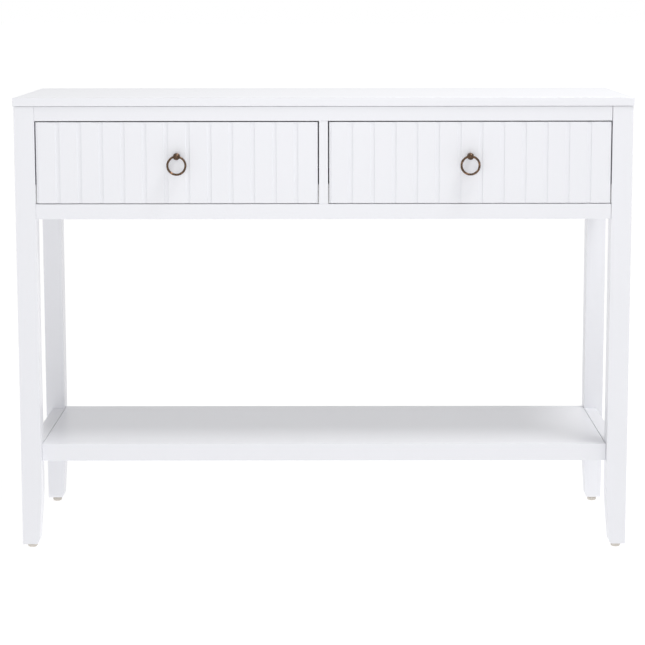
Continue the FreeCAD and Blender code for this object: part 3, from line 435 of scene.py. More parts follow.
def prism(name, outline, axis, start, end):
    """Push a flat outline along an axis. The outline's points are the other two coordinates, in order."""
    shape = bmesh.new()
    rings = []
    for position in (start, end):
        ring = []
        for first, second in outline:
            spot = [first, second]
            spot.insert(axis, position)
            ring.append(shape.verts.new(spot))
        rings.append(ring)
    for ring in rings:
        shape.faces.new(ring)
    skin(shape, rings)
    return to_object(name, shape)


def plank(name, low, high):
    """A square-edged board between two corners."""
    outline = [(low.x, low.y), (high.x, low.y), (high.x, high.y), (low.x, high.y)]
    return prism(name, outline, Z, low.z, high.z)


print("boards can be cut")

# %% [markdown]
# ## Top and frame boards
#
# The top is a thin slab whose edges are eased by about a millimetre. Rails, aprons and shelf boards are eased
# a little less, just enough for the lacquer to hold on. Joints on lacquered furniture aren't perfectly tight:
# the top sits on a hairline of shadow, and the upper rail stops a fraction short of its legs. Those hairlines
# draw the whole frame when everything is white, so each is a real gap and not a painted line.

# %% Top and boards
TOP_EASE = 1.1 * MM
BOARD_EASE = 0.7 * MM
SHADOW_GAP = 0.6 * MM

top_low, top_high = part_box("top_panel")
top = ease(plank("table_top", top_low, top_high), TOP_EASE, steps=4)
settle(top, "root", "white_lacquer", "top_panel")

# how far each board stops short of its neighbours: at its left end, at its right end and at its top
hairlines = {
    "front_top_rail": (0.15, 0.8, 0.6), "front_bottom_rail": (0.1, 0.5, 0),
    "left_side_apron": (0, 0, 0.6), "right_side_apron": (0, 0, 0.6), "back_apron": (0.3, 0.3, 0.6),
    "shelf_front_rail": (0.1, 0.2, 0), "shelf_rear_rail": (0.3, 0.3, 0),
    "shelf_left_rail": (0, 0, 0), "shelf_right_rail": (0, 0, 0), "shelf_panel": (0, 0, 0),
}
for node, (at_left, at_right, at_top) in hairlines.items():
    low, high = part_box(node)
    low.x += at_left * MM
    high -= Vector((at_right, 0, at_top)) * MM
    settle(ease(plank(f"{node}_board", low, high), BOARD_EASE), "root", "white_lacquer", node)
print(1 + len(hairlines), "boards")

# %% [markdown]
# ## Divider
#
# The divider between the drawers is the front edge of a board that runs back through the case. The board is
# notched round both front rails, so its side is drawn as one outline and pushed through its thickness.

# %% Divider
low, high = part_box("centre_partition")
rail_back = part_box("front_top_rail")[1].y
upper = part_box("front_top_rail")[0].z
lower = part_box("front_bottom_rail")[1].z
high.z -= SHADOW_GAP
side_outline = [
    (rail_back, low.z), (high.y, low.z), (high.y, high.z), (rail_back, high.z),
    (rail_back, upper), (low.y, upper), (low.y, lower), (rail_back, lower),
]
divider = ease(prism("divider", side_outline, X, low.x, high.x), BOARD_EASE)
settle(divider, "root", "white_lacquer", "centre_partition")
print("divider", round((high.x - low.x) / MM, 1), "mm thick")

# %% [markdown]
# ## The shape of a leg
#
# A leg is square for most of its height. Below the shelf its two inner faces swing inwards in a slow curve
# and then run straight to the foot, whose inner corner is rounded. So a leg is a stack of square sections, and
# the list of their heights and widths is all its shape. The straight part leans as the line from the foot
# that just touches the curve.

# %% Leg sections
TAPER_TOP = 121 * MM
TAPER_DEPTH = 6.5 * MM
TAPER_RADIUS = 624 * MM
FOOT_ROUND_HEIGHT = 9 * MM
FOOT_ROUND_DEPTH = 5 * MM
ROUND_STEPS = 6
TAPER_STEPS = 8


def leg_sections(size, bottom, top_z):
    """Height and width of each square section, from the foot up."""
    rise = TAPER_TOP - bottom
    reach = math.hypot(rise, TAPER_RADIUS - TAPER_DEPTH)
    lean = math.asin(TAPER_RADIUS / reach) - math.atan((TAPER_RADIUS - TAPER_DEPTH) / rise)
    foot = size - TAPER_DEPTH
    sections = []
    for step in range(ROUND_STEPS + 1):
        turn = math.radians(90 * step / ROUND_STEPS)
        height = FOOT_ROUND_HEIGHT * (1 - math.cos(turn))
        width = foot - FOOT_ROUND_DEPTH * (1 - math.sin(turn)) + height * math.tan(lean)
        sections.append((bottom + height, width))
    for step in range(TAPER_STEPS + 1):
        turn = lean * (1 - step / TAPER_STEPS)
        height = TAPER_TOP - TAPER_RADIUS * math.sin(turn)
        sections.append((height, size - TAPER_RADIUS * (1 - math.cos(turn))))
    sections.append((top_z, size))
    return sections


print("a leg has", ROUND_STEPS + TAPER_STEPS + 3, "sections")

# %% [markdown]
# ## Legs
#
# Only the inner faces move from one section to the next, and the outer faces stay plumb. Each section is
# therefore drawn from the leg's outer corner, towards the middle of the table.

# %% Legs
LEG_EASE = 1.0 * MM


def make_leg(end, side):
    node = f"{end}_{side}_leg"
    low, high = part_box(node)
    outer_x = low.x if side == "left" else high.x
    outer_y = low.y if end == "front" else high.y
    into_x = 1 if side == "left" else -1
    into_y = 1 if end == "front" else -1
    shape = bmesh.new()
    rings = []
    for height, width in leg_sections(high.x - low.x, low.z, high.z - SHADOW_GAP):
        corners = ((0, 0), (width, 0), (width, width), (0, width))
        ring = [shape.verts.new((outer_x + into_x * a, outer_y + into_y * b, height)) for a, b in corners]
        rings.append(ring)
    skin(shape, rings)
    shape.faces.new(rings[0])
    shape.faces.new(rings[-1])
    piece = ease(to_object(f"leg_{end}_{side}", shape), LEG_EASE)
    return settle(piece, "root", "white_lacquer", node)


for end in ENDS:
    for side in SIDES:
        make_leg(end, side)
print("4 legs, tapered below", TAPER_TOP, "m")

# %% [markdown]
# ## Turned pieces
#
# Glides, rollers and pull posts are round, so each is a profile spun about an axis. The profile gives the
# distance from the axis and the place along it. A radius of zero makes the pole where the profile closes.

# %% Lathe
def lathe(name, profile, centre, axis, steps=48):
    """Spin a profile of (radius, along) points about an axis through centre."""
    shape = bmesh.new()
    others = [i for i in range(3) if i != axis]

    def vertex(radius, along, turn):
        spot = list(centre)
        spot[axis] += along
        spot[others[0]] += radius * math.cos(turn)
        spot[others[1]] += radius * math.sin(turn)
        return shape.verts.new(spot)

    rings = []
    for radius, along in profile:
        count = 1 if radius == 0 else steps
        rings.append([vertex(radius, along, 2 * math.pi * k / steps) for k in range(count)])
    skin(shape, rings, closed=profile[0][0] != 0)
    return to_object(name, shape)


def sharp_past(piece, degrees=35):
    """Let faces that meet at a steeper angle keep a crisp line between them."""
    piece.data.set_sharp_from_angle(angle=math.radians(degrees))
    return piece


def join(name, pieces):
    """Make one object of several."""
    shape = bmesh.new()
    for piece in pieces:
        shape.from_mesh(piece.data)
        bpy.data.objects.remove(piece)
    return to_object(name, shape)


print("profiles can be spun")

# %% [markdown]
# ## Solids of one node
#
# A node of the model can hold several separate solids, such as the four glides or a set of screws. They are
# told apart by walking along edges from any point until no new point turns up. Each solid's points then give
# its box, which is enough to place a finer piece on it.

# %% Islands
WELD = 0.01 * MM


def spots_box(spots):
    """Low and high corner of a set of points."""
    low = Vector([min(spot[i] for spot in spots) for i in range(3)])
    high = Vector([max(spot[i] for spot in spots) for i in range(3)])
    return low, high


def islands(node):
    """The points of each separate solid in a model node, in a fixed order."""
    shape = bmesh.new()
    shape.from_mesh(frame["nodes"][node].data)
    bmesh.ops.remove_doubles(shape, verts=shape.verts, dist=WELD)
    left = set(shape.verts)
    found = []
    while left:
        front = [left.pop()]
        spots = [front[0].co.copy()]
        while front:
            for edge in front.pop().link_edges:
                for vertex in edge.verts:
                    if vertex in left:
                        left.remove(vertex)
                        front.append(vertex)
                        spots.append(vertex.co.copy())
        found.append(spots)
    shape.free()
    return sorted(found, key=lambda spots: tuple(round(c, 5) for c in spots_box(spots)[0]))


print(len(islands("foot_glides")), "glides found")

# %% [markdown]
# ## Glides
#
# Each leg stands on a small turned disc that holds the wood off the floor. Its rim is rounded, and a thin
# step near the top marks where the disc meets the leg.

# %% Glides
RIM_ROUND = 3.2 * MM
STEP_HEIGHT = 1.6 * MM
STEP_DEPTH = 0.9 * MM
RIM_CHAMFER = Vector((0.3, 0.4)) * MM


def glide_profile(radius, height):
    points = [(0, 0), (radius - RIM_ROUND * 1.4, 0)]
    for step in range(ROUND_STEPS + 1):
        turn = math.radians(90 * step / ROUND_STEPS)
        points.append((radius - RIM_ROUND * (1 - math.sin(turn)), RIM_ROUND * (1 - math.cos(turn))))
    shoulder = height - STEP_HEIGHT
    points += [(radius, shoulder - RIM_CHAMFER.y), (radius - RIM_CHAMFER.x, shoulder)]
    points += [(radius - STEP_DEPTH, shoulder), (radius - STEP_DEPTH, height), (0, height)]
    return points


glides = []
leg_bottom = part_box("front_left_leg")[0].z
for spots in islands("foot_glides"):
    low, high = spots_box(spots)
    centre = ((low.x + high.x) / 2, (low.y + high.y) / 2, low.z)
    glides.append(lathe("glide", glide_profile((high.x - low.x) / 2, leg_bottom - low.z), centre, Z))
glides = sharp_past(join("glides", glides), degrees=40)
settle(glides, "root", "glide_plastic", "foot_glides")
print("glides", round(leg_bottom / MM, 1), "mm tall")

# %% [markdown]
# ## Geometry Nodes by name
#
# Two things repeat in this table: the boards of a drawer front and the screws. Geometry Nodes is made for
# repeats: one model, many copies, and the count and spacing as inputs. These helpers make a tree, add a node
# whose sockets are set by name, and run a finished tree on a piece. Copying a model and ending with a finish
# are the same in every tree, so they are helpers too.

# %% Geometry Nodes helpers
def new_tree(name, inputs):
    """An empty geometry tree with named inputs and one geometry output."""
    tree = bpy.data.node_groups.new(name, "GeometryNodeTree")
    tree.interface.new_socket("Geometry", in_out="INPUT", socket_type="NodeSocketGeometry")
    for label, kind in inputs.items():
        tree.interface.new_socket(label, in_out="INPUT", socket_type=kind)
    tree.interface.new_socket("Geometry", in_out="OUTPUT", socket_type="NodeSocketGeometry")
    return tree, tree.nodes.new("NodeGroupInput"), tree.nodes.new("NodeGroupOutput")


def add(tree, kind, wires, **settings):
    """A geometry node with its settings, then its sockets wired or set by name."""
    node = tree.nodes.new(kind)
    for name, setting in settings.items():
        setattr(node, name, setting)
    for label, value in wires.items():
        if isinstance(value, bpy.types.NodeSocket):
            tree.links.new(value, node.inputs[label])
        else:
            node.inputs[label].default_value = value
    return node


def grow(piece, tree, values):
    """Run a tree on a piece with the given inputs, and keep the result."""
    modifier = piece.modifiers.new(tree.name, "NODES")
    modifier.node_group = tree
    for item in tree.interface.items_tree:
        if item.in_out == "INPUT" and item.name in values:
            modifier[item.identifier] = values[item.name]
    return keep_result(piece)


def stamp(tree, model, points, **more):
    """Real copies of a model at some points; more holds extra wires for the copies."""
    info = add(tree, "GeometryNodeObjectInfo", {"Object": model})
    wires = {"Points": points, "Instance": info.outputs["Geometry"], **more}
    copies = add(tree, "GeometryNodeInstanceOnPoints", wires)
    real = add(tree, "GeometryNodeRealizeInstances", {"Geometry": copies.outputs["Instances"]})
    return real.outputs["Geometry"]


def end_with_finish(tree, geometry, given, result):
    """Give everything the tree's finish and send it out."""
    wires = {"Geometry": geometry, "Material": given.outputs["Finish"]}
    finished = add(tree, "GeometryNodeSetMaterial", wires)
    tree.links.new(finished.outputs["Geometry"], result.inputs["Geometry"])


print("trees can be grown")

# %% [markdown]
# ## The tree of a channelled front
#
# A drawer front looks like thirteen boards side by side, but it is one panel with shallow flat channels cut
# into it. The rule is simple: a backing slab, and the same raised board again and again at equal steps. The
# tree sets copies of one board along a line, adds the slab that it runs on, makes the copies real and gives
# them all the lacquer.

# %% The tree of a channelled front
front_tree, given, result = new_tree("channelled_front", {
    "Board": "NodeSocketObject",
    "Board Count": "NodeSocketInt",
    "First Board": "NodeSocketVector",
    "Step": "NodeSocketVector",
    "Finish": "NodeSocketMaterial",
})
line = add(front_tree, "GeometryNodeMeshLine", {
    "Count": given.outputs["Board Count"],
    "Start Location": given.outputs["First Board"],
    "Offset": given.outputs["Step"],
}, mode="OFFSET")
boards = stamp(front_tree, given.outputs["Board"], line.outputs["Mesh"])
both = front_tree.nodes.new("GeometryNodeJoinGeometry")
for geometry in (given.outputs["Geometry"], boards):
    front_tree.links.new(geometry, both.inputs[0])
end_with_finish(front_tree, both.outputs["Geometry"], given, result)
print("front tree:", len(front_tree.nodes), "nodes")

# %% [markdown]
# ## Drawer fronts
#
# The channels are seven millimetres wide and little more than one deep, so what shows is a thin shadow on one
# flank and a thin light on the other. Each front is as wide as its opening less the gaps, and the boards
# share that width equally. The raised boards reach a little way into the slab, so that no slit is left.

# %% Drawer fronts
BOARD_COUNT = 13
CHANNEL_WIDTH = 7.0 * MM
CHANNEL_DEPTH = 1.3 * MM
FRONT_EASE = 0.45 * MM
SLAB_EASE = 0.25 * MM
OVERLAP = 0.6 * MM


def make_front(side):
    node = f"{side}_drawer_front"
    low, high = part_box(node)
    pitch = (high.x - low.x) / BOARD_COUNT
    width = pitch - CHANNEL_WIDTH
    slab_low = low + Vector((0, CHANNEL_DEPTH, 0))
    slab = ease(plank(node + "_panel", slab_low, high), SLAB_EASE, steps=2)
    thickness = CHANNEL_DEPTH + OVERLAP
    board_low = Vector((-width / 2, 0, 0))
    board_high = Vector((width / 2, thickness, high.z - low.z))
    board = ease(plank("front_board", board_low, board_high), FRONT_EASE)
    panel = grow(slab, front_tree, {
        "Board": board,
        "Board Count": BOARD_COUNT,
        "First Board": (low.x + pitch / 2, low.y, low.z),
        "Step": (pitch, 0, 0),
        "Finish": white_lacquer,
    })
    bpy.data.objects.remove(board)
    return settle(panel, f"{side}_drawer", "white_lacquer", node)


for side in SIDES:
    front = make_front(side)
    print(front.name, len(front.data.polygons), "faces")

# %% [markdown]
# ## Profiles of a pull
#
# A pull is a turned post that ends in a ball, and a ring that hangs through the ball. The post's profile runs
# from a base plate over a waisted neck to the ball. The hole is trumpet-shaped: the ring bends away from the
# hole's axis, so the hole opens out as it nears the ball's surface, and the ring can swing without touching.

# %% Post and throat profiles
BASE_RADIUS = 5.5 * MM
NECK = 3.2 * MM
BALL_STEPS = 14
RING_RADIUS = 16 * MM
WIRE_RADIUS = 2 * MM
RING_CLEARANCE = 0.1 * MM
THROAT_STEPS = 8


def post_profile(reach, ball):
    """From the drawer's face outwards, as (radius, minus the distance from the face)."""
    base = [(0, 0), (BASE_RADIUS, 0), (BASE_RADIUS, -0.9 * MM), (BASE_RADIUS - 0.6 * MM, -1.5 * MM)]
    waist = [(NECK + 0.7 * MM, -1.6 * MM), (NECK, -2.3 * MM), (NECK - 0.35 * MM, -3.6 * MM), (NECK, -4.9 * MM)]
    points = base + waist
    start = math.asin(NECK / ball)
    for step in range(BALL_STEPS + 1):
        turn = start + (math.pi - start) * step / BALL_STEPS
        radius = 0 if step == BALL_STEPS else ball * math.sin(turn)
        points.append((radius, -reach + ball * math.cos(turn)))
    return points


def throat_profile(reach):
    """The hole's radius along its axis: it opens out as the ring's curve needs."""
    inner = RING_RADIUS - WIRE_RADIUS - RING_CLEARANCE
    points = [(0, -reach)]
    for step in range(2 * THROAT_STEPS + 1):
        along = reach * (step / THROAT_STEPS - 1)
        points.append((RING_RADIUS - math.sqrt(inner ** 2 - along ** 2), along))
    points.append((0, reach))
    return points


print("hole", round(2 * (WIRE_RADIUS + RING_CLEARANCE) / MM, 1), "mm across at its waist")

# %% [markdown]
# ## Posts
#
# The post is spun, and a Boolean then takes the spun throat away from its ball. The throat's centre is where
# the model's joint lets the ring turn, so the ring always hangs from the middle of its hole.

# %% Post
def cut_out(piece, tool):
    """Take the tool's shape away from a piece."""
    cutter = piece.modifiers.new("cut", "BOOLEAN")
    cutter.object = tool
    cutter.operation = "DIFFERENCE"
    cutter.solver = "EXACT"
    keep_result(piece)
    bpy.data.objects.remove(tool)
    return piece


def make_post(side):
    node = f"{side}_pull_post"
    low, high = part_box(node)
    pivot = next(joint for joint in frame["joints"] if joint["name"] == f"{side}_ring_swing")["pos_m"]
    ball = (high.z - low.z) / 2
    reach = high.y - pivot[1]
    face = (pivot[0], high.y, pivot[2])
    post = lathe(f"{side}_post", post_profile(reach, ball), face, Y, steps=64)
    tool = lathe("throat", throat_profile(ball + MM), pivot, X)
    post = sharp_past(cut_out(post, tool))
    return settle(post, f"{side}_drawer", "aged_bronze", node)


for side in SIDES:
    post = make_post(side)
    print(post.name, len(post.data.vertices), "points")

# %% [markdown]
# ## Rings
#
# A ring is a circle carried round a circle. A cast ring isn't perfect: its wire swells and thins by a few
# hundredths, in two waves that don't fall together, and the light runs unevenly along it.

# %% Ring
RING_STEPS = 128
WIRE_STEPS = 28
SLOW_WAVE, SLOW_WAVES = 0.012, 7
QUICK_WAVE, QUICK_WAVES = 0.01, 19


def cast_wire(turn):
    """How thick the wire is at one place round the ring, as a share of its full thickness."""
    slow = SLOW_WAVE * (1 + math.sin(SLOW_WAVES * turn + 0.4))
    return 1 - slow - QUICK_WAVE * (1 + math.sin(QUICK_WAVES * turn))


def make_ring(side):
    node = f"{side}_pull_ring"
    low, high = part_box(node)
    centre = (low + high) / 2
    wire = (high.y - low.y) / 2
    radius = (high.x - low.x) / 2 - wire
    shape = bmesh.new()
    rings = []
    for step in range(RING_STEPS):
        turn = 2 * math.pi * step / RING_STEPS
        out = Vector((math.sin(turn), 0, math.cos(turn)))
        thick = wire * cast_wire(turn)
        ring = []
        for k in range(WIRE_STEPS):
            roll = 2 * math.pi * k / WIRE_STEPS
            sideways = Vector((0, thick * math.sin(roll), 0))
            ring.append(shape.verts.new(centre + out * (radius + thick * math.cos(roll)) + sideways))
        rings.append(ring)
    skin(shape, rings, closed=True)
    ring = to_object(f"{side}_ring_of_pull", shape)
    return settle(ring, f"{side}_ring", "aged_bronze", node)


for side in SIDES:
    make_ring(side)
print("rings hang from the balls")

# %% [markdown]
# ## Drawer slides
#
# The slides are bent from thin steel, so their corners are round outside and in. Each member is its bent
# section pushed along the drawer's depth. The fixed ones have a flat tongue that runs forward in the gap
# beside the drawer front, and the gap's lower end looks white because of it.

# %% Slide members
METAL = 1.2 * MM
METAL_EASE = 0.4 * MM
TRACK_LIP = 3 * MM
TRACK_TOP_SETBACK = 1.8 * MM
RUNNER_WEB = 7.7 * MM
TONGUE_LAP = 2 * MM


def slide_section(name, node, away, outline, front, back):
    """Push a bent section from front to back; outline is (distance from the wall, height) points."""
    low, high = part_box(node)
    wall = low.x if away > 0 else high.x
    points = [(wall + away * u, low.z + z) for u, z in outline]
    return ease(prism(name, points, Y, front, back), METAL_EASE)


def track_outline(width, height):
    top_width = width - TRACK_TOP_SETBACK
    return [
        (0, 0), (width, 0), (width, TRACK_LIP), (width - METAL, TRACK_LIP), (width - METAL, METAL),
        (METAL, METAL), (METAL, height - METAL), (top_width, height - METAL), (top_width, height), (0, height),
    ]


def runner_outline(width, height):
    """Measured from the flange's free edge, which is the side nearest the wall."""
    return [
        (RUNNER_WEB, 0), (width, 0), (width, METAL), (RUNNER_WEB + METAL, METAL), (RUNNER_WEB + METAL, height),
        (0, height), (0, height - METAL), (RUNNER_WEB, height - METAL),
    ]


slide_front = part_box("left_outer_runner")[0].y
for side in SIDES:
    for position in ("outer", "inner"):
        away = 1 if (side == "left") == (position == "outer") else -1
        kinds = (("track", track_outline, "root"), ("runner", runner_outline, f"{side}_drawer"))
        for kind, outline, body in kinds:
            node = f"{side}_{position}_{kind}"
            low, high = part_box(node)
            bends = outline(high.x - low.x, high.z - low.z)
            piece = slide_section(node + "_steel", node, away, bends, slide_front, high.y)
            if kind == "track":
                strip = [(0, 0), (METAL, 0), (METAL, high.z - low.z), (0, high.z - low.z)]
                tongue = slide_section("tongue", node, away, strip, low.y, slide_front + TONGUE_LAP)
                piece = sharp_past(join(node + "_steel", [piece, tongue]))
            settle(piece, body, "slide_enamel", node)
print("8 slide members, with a tongue on each track")

# %% [markdown]
# ## Rollers
#
# A roller has a round-edged tyre, a hollow web that saves plastic, and a hub round its pin. Both faces are
# alike, so half of the profile is written down and the other half is its mirror.

# %% Rollers
BORE_RADIUS = 2.05 * MM
TYRE_EASE = 0.6 * MM
WEB_HOLLOW = 1.2 * MM


def roller_profile(radius, width):
    half = [
        (BORE_RADIUS, 0), (BORE_RADIUS + 2 * MM, 0), (BORE_RADIUS + 2.4 * MM, WEB_HOLLOW),
        (radius - 2.6 * MM, WEB_HOLLOW), (radius - 2.2 * MM, 0), (radius - TYRE_EASE, 0), (radius, TYRE_EASE),
    ]
    return half + [(r, width - along) for r, along in reversed(half)]


for side in SIDES:
    for end in ENDS:
        node = f"{side}_{end}_rollers"
        spun = []
        for spots in islands(node):
            low, high = spots_box(spots)
            centre = (low.x, (low.y + high.y) / 2, (low.z + high.z) / 2)
            profile = roller_profile((high.z - low.z) / 2, high.x - low.x)
            spun.append(lathe("roller", profile, centre, X, steps=40))
        rollers = sharp_past(join(f"{side}_{end}_roller_pair", spun), degrees=40)
        settle(rollers, node, "roller_nylon", node)
print("8 rollers")

# %% [markdown]
# ## Screws
#
# Every screw is the same: a domed head with a cross recess and a tapering thread. One is modelled, pointing
# down, with few faces because it is used dozens of times. Its cross is two thin bars taken out of the head.

# %% One screw
HEAD_RADIUS = 3.2 * MM
SHANK_RADIUS = 1.6 * MM
THREAD_PITCH = 1.2 * MM
CROSS_LOW = Vector((-1.5, -0.32, 0.9)) * MM
CROSS_HIGH = Vector((1.5, 0.32, 3)) * MM


def make_screw_model():
    """A screw with its seat at the origin, its head above and its shank below."""
    profile = [(0, 1.9 * MM), (1.6 * MM, 1.8 * MM), (2.6 * MM, 1.3 * MM), (HEAD_RADIUS, 0.4 * MM)]
    profile += [(HEAD_RADIUS, 0), (SHANK_RADIUS, 0)]
    thread = -0.6 * MM
    while thread > -7.6 * MM:
        profile += [(1.2 * MM, thread), (1.7 * MM, thread - 0.35 * MM)]
        thread -= THREAD_PITCH
    profile += [(1.0 * MM, -8.2 * MM), (0, -8.9 * MM)]
    screw = lathe("screw", profile, (0, 0, 0), Z, steps=20)
    for turn in (0, 90):
        bar = plank("bar", CROSS_LOW, CROSS_HIGH)
        bar.data.transform(Matrix.Rotation(math.radians(turn), 4, "Z"))
        cut_out(screw, bar)
    return sharp_past(screw)


screw_model = make_screw_model()
print("screw:", len(screw_model.data.polygons), "faces")

# %% [markdown]
# ## The tree that places screws
#
# A second tree puts a screw at every point of a small mesh. Each point carries an arrow, `aim`, that says
# which way its head looks, and the copy is turned to it.

# %% The tree that places screws
screw_tree, given, result = new_tree("screws_at_points", {
    "Screw": "NodeSocketObject",
    "Finish": "NodeSocketMaterial",
})
aim = add(screw_tree, "GeometryNodeInputNamedAttribute", {"Name": "aim"}, data_type="FLOAT_VECTOR")
turn = add(screw_tree, "FunctionNodeAlignRotationToVector", {"Vector": aim.outputs["Attribute"]}, axis="Z")
screws = stamp(screw_tree, given.outputs["Screw"], given.outputs["Geometry"], Rotation=turn.outputs["Rotation"])
end_with_finish(screw_tree, screws, given, result)
print("screw tree:", len(screw_tree.nodes), "nodes")

# %% [markdown]
# ## Driving the screws
#
# Where each screw goes is read from its solid in the model. A screw is longest along its own axis, and its
# widest point is on its head, which is two millimetres tall.

# %% Screws in place
HEAD_HEIGHT = 2 * MM


def screw_seat(spots):
    """Where a screw's head sits and which way the head points, from its solid."""
    low, high = spots_box(spots)
    axis = max(range(3), key=lambda i: high[i] - low[i])
    centre = (low + high) / 2

    def off_axis(spot):
        out = spot - centre
        out[axis] = 0
        return out.length

    widest = max(spots, key=off_axis)
    head_up = 1 if widest[axis] > centre[axis] else -1
    seat = centre.copy()
    seat[axis] = (high[axis] if head_up > 0 else low[axis]) - head_up * HEAD_HEIGHT
    aim = Vector((0, 0, 0))
    aim[axis] = head_up
    return seat, aim


def place_screws(node, body):
    seats = [screw_seat(spots) for spots in islands(node)]
    mesh = bpy.data.meshes.new(node + "_heads")
    mesh.from_pydata([seat for seat, _ in seats], [], [])
    stored = mesh.attributes.new("aim", "FLOAT_VECTOR", "POINT")
    for i, (_, direction) in enumerate(seats):
        stored.data[i].vector = direction
    points = bpy.data.objects.new(node + "_set", mesh)
    bpy.context.scene.collection.objects.link(points)
    grow(points, screw_tree, {"Screw": screw_model, "Finish": finishes["zinc"]})
    return settle(points, body, "zinc", node)


screw_sets = {"bracket_screws": "root", "track_screws": "root", "cleat_screws": "root"}
for side in SIDES:
    screw_sets[f"{side}_runner_screws"] = f"{side}_drawer"
for node, body in screw_sets.items():
    placed = place_screws(node, body)
    print(placed.name, len(islands(node)), "screws")
bpy.data.objects.remove(screw_model)

# %% [markdown]
# ## Drawer boxes
#
# Behind each front is a plain box. Its bottom is a thin panel that slides in a groove, so a side board isn't a
# plain plank: its end shows the groove, and its outline is pushed along the board. The groove runs on in the
# back board. The upper edges are rounded, because hands and clothes pass over them.

# %% Drawer boxes
BOX_EASE = 0.8 * MM
PANEL_EASE = 0.4 * MM
GROOVE_SLACK = 0.1 * MM


def grooved(name, node, bottom, across, along):
    """A board with a groove for the drawer bottom; across and along are its thickness and length axes."""
    low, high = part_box(node)
    floor_low, floor_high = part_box(bottom)
    middle = (floor_low[across] + floor_high[across]) / 2
    inner, outer = (high[across], low[across]) if low[across] < middle else (low[across], high[across])
    depth = floor_low[across] - GROOVE_SLACK if inner < middle else floor_high[across] + GROOVE_SLACK
    under, over = floor_low.z - GROOVE_SLACK, floor_high.z + GROOVE_SLACK
    outline = [
        (outer, low.z), (inner, low.z), (inner, under), (depth, under),
        (depth, over), (inner, over), (inner, high.z), (outer, high.z),
    ]
    return ease(prism(name, outline, along, low[along], high[along]), BOX_EASE)


for side in SIDES:
    bottom = f"{side}_drawer_bottom"
    for part, across, along in (("outer_side", X, Y), ("inner_side", X, Y), ("back", Y, X)):
        node = f"{side}_drawer_{part}"
        board = grooved(node + "_board", node, bottom, across, along)
        settle(board, f"{side}_drawer", "drawer_board", node)
    panel = ease(plank(bottom + "_panel", *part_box(bottom)), PANEL_EASE)
    settle(panel, f"{side}_drawer", "drawer_board", bottom)
for node in ("left_slide_batten", "right_slide_batten"):
    settle(ease(plank(node + "_board", *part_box(node)), BOARD_EASE), "root", "drawer_board", node)
cleats = [ease(plank("cleat", *spots_box(spots)), BOARD_EASE) for spots in islands("shelf_cleats")]
cleat_count = len(cleats)
cleats = sharp_past(join("cleats", cleats), degrees=60)
settle(cleats, "root", "drawer_board", "shelf_cleats")
print("2 drawer boxes, 2 battens,", cleat_count, "cleats")

# %% [markdown]
# ## Brackets
#
# Six small steel angles hold the top down from inside the frame. Each is a strip bent once, so the bend is
# round on both sides. Which wall an angle stands on is read from its solid: its lowest points are all on the
# upright leg.

# %% Brackets
BRACKET_METAL = 2.0 * MM
INNER_BEND = 1.5 * MM
OUTER_BEND = INNER_BEND + BRACKET_METAL
BRACKET_EASE = 0.3 * MM


def bend_points(radius, top, turns):
    """Points round the bend, as (distance from the wall, height)."""
    return [(OUTER_BEND - radius * math.cos(turn), top - OUTER_BEND + radius * math.sin(turn)) for turn in turns]


def make_bracket(spots):
    low, high = spots_box(spots)
    foot_low, foot_high = spots_box([spot for spot in spots if spot.z < low.z + MM])
    across, along = (X, Y) if foot_high.x - foot_low.x < foot_high.y - foot_low.y else (Y, X)
    at_low = foot_low[across] - low[across] < MM
    wall = low[across] if at_low else high[across]
    into = 1 if at_low else -1
    reach = high[across] - low[across]
    turns = [math.radians(90 * step / ROUND_STEPS) for step in range(ROUND_STEPS + 1)]
    outside = bend_points(OUTER_BEND, high.z, turns)
    inside = bend_points(INNER_BEND, high.z, reversed(turns))
    ends = [(reach, high.z), (reach, high.z - BRACKET_METAL)]
    outline = [(0, low.z), *outside, *ends, *inside, (BRACKET_METAL, low.z)]
    points = [(wall + into * u, z) for u, z in outline]
    return ease(prism("bracket", points, along, low[along], high[along]), BRACKET_EASE, steps=2)


angles = [make_bracket(spots) for spots in islands("top_brackets")]
print(len(angles), "brackets")
brackets = sharp_past(join("brackets", angles))
settle(brackets, "root", "zinc", "top_brackets")

# %% [markdown]
# ## Pull screws
#
# Each pull is held by one machine screw from inside the drawer. Its broad low head is seen when the drawer is
# open, so it gets its dome and its cross recess.

# %% Pull screws
BOLT_RADIUS = 1.95 * MM
BOLT_PITCH = 0.7 * MM
BOLT_CROSS = (Vector((2.2, 0, 0.4)) * MM, Vector((0.4, 0, 2.2)) * MM)


def make_pull_screw(side):
    node = f"{side}_pull_screw"
    low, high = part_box(node)
    head = high.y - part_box(f"{side}_drawer_front")[1].y
    wide = (high.x - low.x) / 2
    tip = low.y - high.y
    profile = [(0, 0), (wide * 0.5, -head * 0.12), (wide * 0.85, -head * 0.45), (wide, -head * 0.85)]
    profile += [(wide, -head), (BOLT_RADIUS, -head)]
    along = -head - 0.8 * MM
    while along > tip + MM:
        profile += [(BOLT_RADIUS - 0.3 * MM, along), (BOLT_RADIUS, along - BOLT_PITCH / 2)]
        along -= BOLT_PITCH
    profile += [(BOLT_RADIUS - 0.4 * MM, tip), (0, tip)]
    centre = Vector(((low.x + high.x) / 2, high.y, (low.z + high.z) / 2))
    screw = lathe(node + "_turned", profile, centre, Y, steps=32)
    into_head = Vector((0, head * 0.7, 0))
    past_head = Vector((0, MM, 0))
    for corner in BOLT_CROSS:
        cut_out(screw, plank("bar", centre - corner - into_head, centre + corner + past_head))
    return settle(sharp_past(screw), f"{side}_drawer", "zinc", node)


for side in SIDES:
    screw = make_pull_screw(side)
    print(screw.name, len(screw.data.polygons), "faces")

# %% [markdown]
# ## Pieces kept from the model
#
# Pins and dowels already have the right shape, and are nearly out of sight. They only need their finish.

